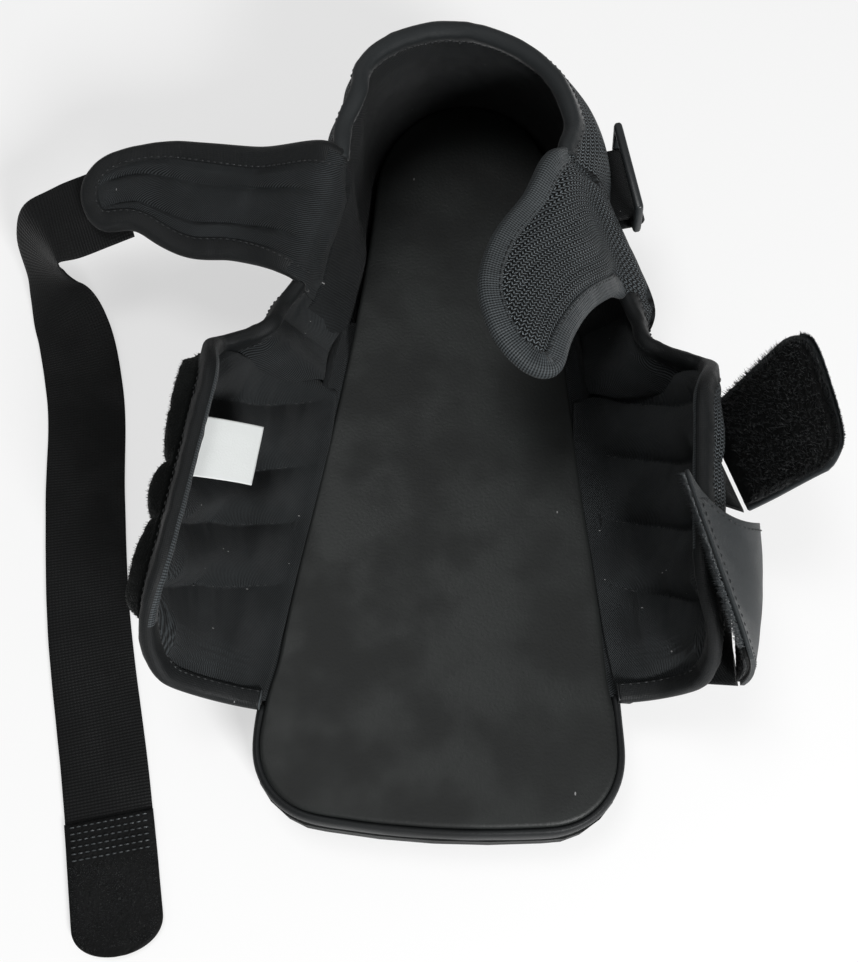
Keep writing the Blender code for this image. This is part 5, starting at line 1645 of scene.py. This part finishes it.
for kind, (rear, front) in STRAP_ROOTS.items():
    settle(strap_root(kind, rear, front), "right_instep", "webbing")
    front = max(front, HINGE_FRONT[1] + ANCHOR_INSET)
    reach = along_wing(rear), along_wing(front)
    anchor = wall(f"{kind}_anchor", right_form, np.linspace(*reach, 50), 30, always(ANCHOR_V[0]),
                  always(ANCHOR_V[1]), level(-ANCHOR_DEPTH[0]),
                  lambda u, v, up: ANCHOR_DEPTH[1] + 0.15 * uneven(u, up, (6, 7), 103),
                  [anchor_cloth, anchor_cloth])
    settle(anchor, "right_instep", "webbing", f"{kind}_strap_anchor")
    rows = [line_on(right_form, np.linspace(reach[0] + 2, reach[1] - 2, 60), v, ANCHOR_DEPTH[1])
            for v in (ANCHOR_V[0] + 0.03, ANCHOR_V[1] - 0.04)]
    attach(stitches(f"{kind}_anchor_stitches", rows), "right_instep")

# %% [markdown]
# ## The ankle strap
# The ankle strap is elastic webbing. It comes out from under the tip of the left ankle wing, turns
# down to the floor and lies flat. Its end is a doubled tab with hooks, held by a block of stitches.

# %% The strap's route
STRAP_HALF = 15.0
STRAP_LEAD = 13.0
STRAP_TUCK = 10.0
STRAP_STEP = 1.3
TONGUE_ROUND = 2.2
STRAP_ROUTE = (           # place, and the way across the strap
    ((-161, 66.5, 36), (-0.60, 0.80, 0)), ((-166, 63.5, 25), (-0.74, 0.67, 0)),
    ((-163, 56, 13), (-0.85, 0.53, 0)), ((-155, 41, 4.5), (-0.98, 0.18, 0)),
    ((-147, 16, 1.1), (-0.99, -0.14, 0)), ((-139, -31, 1.1), (-0.99, -0.15, 0)),
    ((-131, -73, 1.1), (-0.98, -0.20, 0)), ((-114, -137, 1.1), (-0.97, -0.25, 0)),
    ((-101.2, -189.5, 1.1), (-0.97, -0.24, 0)),
)


def ankle_strap_line():
    """The strap's middle line in even steps, with the way across it, its normal and its run."""
    start, _ = joint_line("ankle_strap_swing")
    pair = [vec(*p) for p in ANKLE_EDGES[-1][-1]]
    lead = unit(vec(*STRAP_ROUTE[0][0]) - start)
    places = [start - lead * STRAP_TUCK, start, start + lead * STRAP_LEAD]
    places = np.array(places + [vec(*place) for place, _ in STRAP_ROUTE])
    ways = unit(np.array([unit(pair[1] - pair[0])] * 3 + [vec(*way) for _, way in STRAP_ROUTE]))
    run = run_along(places)
    dense = np.linspace(0, run[-1], 900)
    line, ways = smooth_line(run, places, dense), smooth_line(run, ways, dense)
    real = run_along(line)
    at = np.arange(0, real[-1], STRAP_STEP)
    line, ways = read_at(at, real, line), read_at(at, real, ways)
    along = unit(np.gradient(line, axis=0))
    ways = unit(ways - along * (ways * along).sum(-1, keepdims=True))
    up = unit(np.cross(ways, along))
    return line, ways, up * np.sign(up[-1, 2]), at


strap_line, strap_ways, strap_up, strap_run = ankle_strap_line()
print("ankle strap length", round(strap_run[-1], 1), "mm")


def on_strap(run):
    """The middle line, the way across and the normal of the strap at some distances along it."""
    return [read_at(run, strap_run, table) for table in (strap_line, strap_ways, strap_up)]


def ribbon(name, first, last, low, high, look, half=STRAP_HALF, tongue=0.0, waves=0.12, seed=1):
    """A flat band along the strap's line between two distances; low and high are its two faces, and
    tongue is the length of its rounded end."""
    run = np.linspace(first, last - tongue, int((last - tongue - first) / STRAP_STEP))
    width = half + 0 * run
    if tongue:
        run = np.append(run, last - tongue * (1 - np.sin(np.linspace(0.06, 1, 26) * math.pi / 2)))
        t = np.clip(1 - (last - run) / max(tongue, 1.0), 0, 1)
        width = half * np.sqrt(1 - 0.985 * t**TONGUE_ROUND)
    line, ways, up = on_strap(run)
    shares = np.sin(np.linspace(-1, 1, 31) * math.pi / 2)
    ripple = waves * uneven(run[:, None], shares * half, (9, 7), seed)
    reach = (high - low) / 2 * (1 - 0.55 * np.abs(shares)**10)
    flat = line[:, None] + ways[:, None] * (shares * width[:, None])[..., None]
    top, under = [flat + up[:, None] * ((low + high) / 2 + ripple + sign * reach)[..., None]
                  for sign in (1, -1)]
    rows = np.concatenate([top, under[:, ::-1]], axis=1)
    return tube(name, rows, [look], run, np.concatenate([shares, shares[::-1]]) * half)


# %% The webbing and its tab
TAB_LENGTH = 45.0
TAB_TONGUE = 11.0
TAB_RISE = 1.5            # its upper face, above the strap's middle
TAB_START = strap_run[-1] - TAB_LENGTH
WEBBING_HALF = 0.8        # half its thickness
WEBBING_END = TAB_START + 8.0
webbing = ribbon("ankle_strap_band", 0.0, WEBBING_END, -WEBBING_HALF, WEBBING_HALF, webbing_cloth,
                 seed=110)
tab = ribbon("ankle_strap_tab", TAB_START, strap_run[-1], -WEBBING_HALF, TAB_RISE, hook_base,
             half=STRAP_HALF + 0.2, tongue=TAB_TONGUE, waves=0.2, seed=111)
settle(webbing, "ankle_strap", "webbing", "ankle_strap_webbing")
settle(tab, "ankle_strap", "hook_tape", "ankle_strap_hook_tab")

# %% The tab's stitches and hooks
TACK_ROWS, TACK_STEP, TACK_PITCH = 6, 2.2, 2.3
TACK_HALF = 13.5          # half a row's length
TACK_INSET = 1.5          # from the tab's start to the first row
TACK_RISE, HOOK_RISE = 1.55, 1.35    # above the strap's middle
TAB_HOOKS, TAB_HOOK_LENGTH, TAB_HOOK_WIDTH = 3400, 0.42, 0.24
HOOK_HALF = 14.3          # half the width that the hooks cover
HOOKS_FROM, HOOKS_TO = 14.0, 3.0     # from the tab's start, and from its tip
tack_rows = []
for row in range(TACK_ROWS):
    place, way, up = on_strap(TAB_START + TACK_INSET + row * TACK_STEP)
    places = place + up * TACK_RISE + way * np.linspace(-TACK_HALF, TACK_HALF, 30)[:, None]
    tack_rows.append((places, np.broadcast_to(up, places.shape)))
# The tacks take the lighter hook finish, a painted highlight.
tacks = stitches("ankle_strap_tacks", tack_rows, hook_painted_highlight, pitch=TACK_PITCH)
rng = np.random.default_rng(112)
at = rng.uniform(TAB_START + HOOKS_FROM, strap_run[-1] - HOOKS_TO, TAB_HOOKS)
line, ways, up = on_strap(at)
room = HOOK_HALF * np.sqrt(1 - np.clip(1 - (strap_run[-1] - at) / TAB_TONGUE, 0, 0.98)**2)
line = line + ways * (rng.uniform(-1, 1, TAB_HOOKS) * room)[:, None] + up * HOOK_RISE
leans = unit(rng.normal(size=(TAB_HOOKS, 3)))
tab_fibres = fibres("ankle_strap_fibres", line, up, leans, TAB_HOOK_LENGTH, TAB_HOOK_WIDTH,
                    hook_fibre, "hook_tape", 113)
for part in (tacks, tab_fibres):
    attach(part, "ankle_strap")

# %% [markdown]
# ## The ring
# A flat moulded ring hangs in a folded tab on the outside of the collar. It is hard plastic, so it is
# modelled from a box: its two broad faces are inset, the inner faces are bridged into a hole, and all
# its edges are rounded.

# %% The ring
RING_BAR = 3.2
RING_EDGE = 0.9
ring_points = np.array([v.co for v in frame["nodes"]["strap_ring"].data.vertices]) / MM
ring_middle = ring_points.mean(axis=0)
_, _, ring_ways = np.linalg.svd(ring_points - ring_middle)
along_ring = (ring_points - ring_middle) @ ring_ways.T
ring_size = np.ptp(along_ring, axis=0)
ring_centre = ring_middle + ((along_ring.max(0) + along_ring.min(0)) / 2) @ ring_ways
print("ring size", np.round(ring_size, 1).tolist())

bpy.ops.object.select_all(action="DESELECT")
bpy.ops.mesh.primitive_cube_add(size=1.0)
ring = bpy.context.object
ring.name = "ring"
bpy.ops.object.mode_set(mode="EDIT")
bpy.ops.transform.resize(value=tuple(ring_size * MM))
mesh = bmesh.from_edit_mesh(ring.data)
for face in mesh.faces:
    face.select = abs(face.normal.z) > 0.9
bmesh.update_edit_mesh(ring.data)
bpy.ops.mesh.inset(thickness=RING_BAR * MM, use_individual=True)
bpy.ops.mesh.bridge_edge_loops()
bpy.ops.mesh.select_all(action="SELECT")
bpy.ops.mesh.bevel(offset=RING_EDGE * MM, segments=3, affect="EDGES")
bpy.ops.object.mode_set(mode="OBJECT")
ring_ways[2] *= np.sign(np.linalg.det(ring_ways))
turn = Matrix(ring_ways.tolist()).transposed()
ring.data.transform(Matrix.Translation(ring_centre * MM) @ turn.to_4x4())
face_outwards(ring)
ring.data.materials.append(ring_plastic)
bpy.ops.object.shade_smooth_by_angle(angle=math.radians(40))
settle(ring, "strap_ring", "black_plastic", "strap_ring")

# %% The tab that holds the ring
TAB_RADIUS = 3.0
TAB_THICK = 1.2
TAB_HALF = 15.0
TAB_BACK = 8.0
pivot, pin = joint_line("strap_ring_pivot")
pin = unit(pin)
rise = ring_centre - pivot
rise = unit(rise - pin * (rise @ pin))
outwards = np.cross(pin, rise)
outwards = outwards * np.sign(outwards[0])
bends = np.radians(np.linspace(100, -100, 19))
path = [(-TAB_BACK, TAB_RADIUS)] + [(TAB_RADIUS * math.cos(a), TAB_RADIUS * math.sin(a)) for a in bends]
path = np.array(path + [(-TAB_BACK, -TAB_RADIUS)])
ways = unit(np.gradient(path, axis=0))
sides = np.stack([-ways[:, 1], ways[:, 0]], -1)
loop = np.concatenate([path + sides * TAB_THICK / 2, (path - sides * TAB_THICK / 2)[::-1]])
across = np.linspace(-TAB_HALF, TAB_HALF, 20)
rows = (pivot + outwards * loop[None, :, :1] + rise * loop[None, :, 1:]
        + pin * across[:, None, None])
ring_tab = tube("ring_holder", rows, [anchor_cloth], across, run_along(loop))
settle(ring_tab, "sole", "webbing", "ring_tab")

# %% [markdown]
# ## The sole
# The outsole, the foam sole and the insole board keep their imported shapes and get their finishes.

# %% Finishes of the sole
for name, look in (("outsole", outsole_rubber), ("midsole", foam_sole), ("insole_board", board)):
    solid = frame["nodes"][name]
    for socket in solid.material_slots:
        socket.material = look

# %% Finish
for name, solid in frame["nodes"].items():
    if not solid.hide_render:
        print("packed solid still shown:", name)
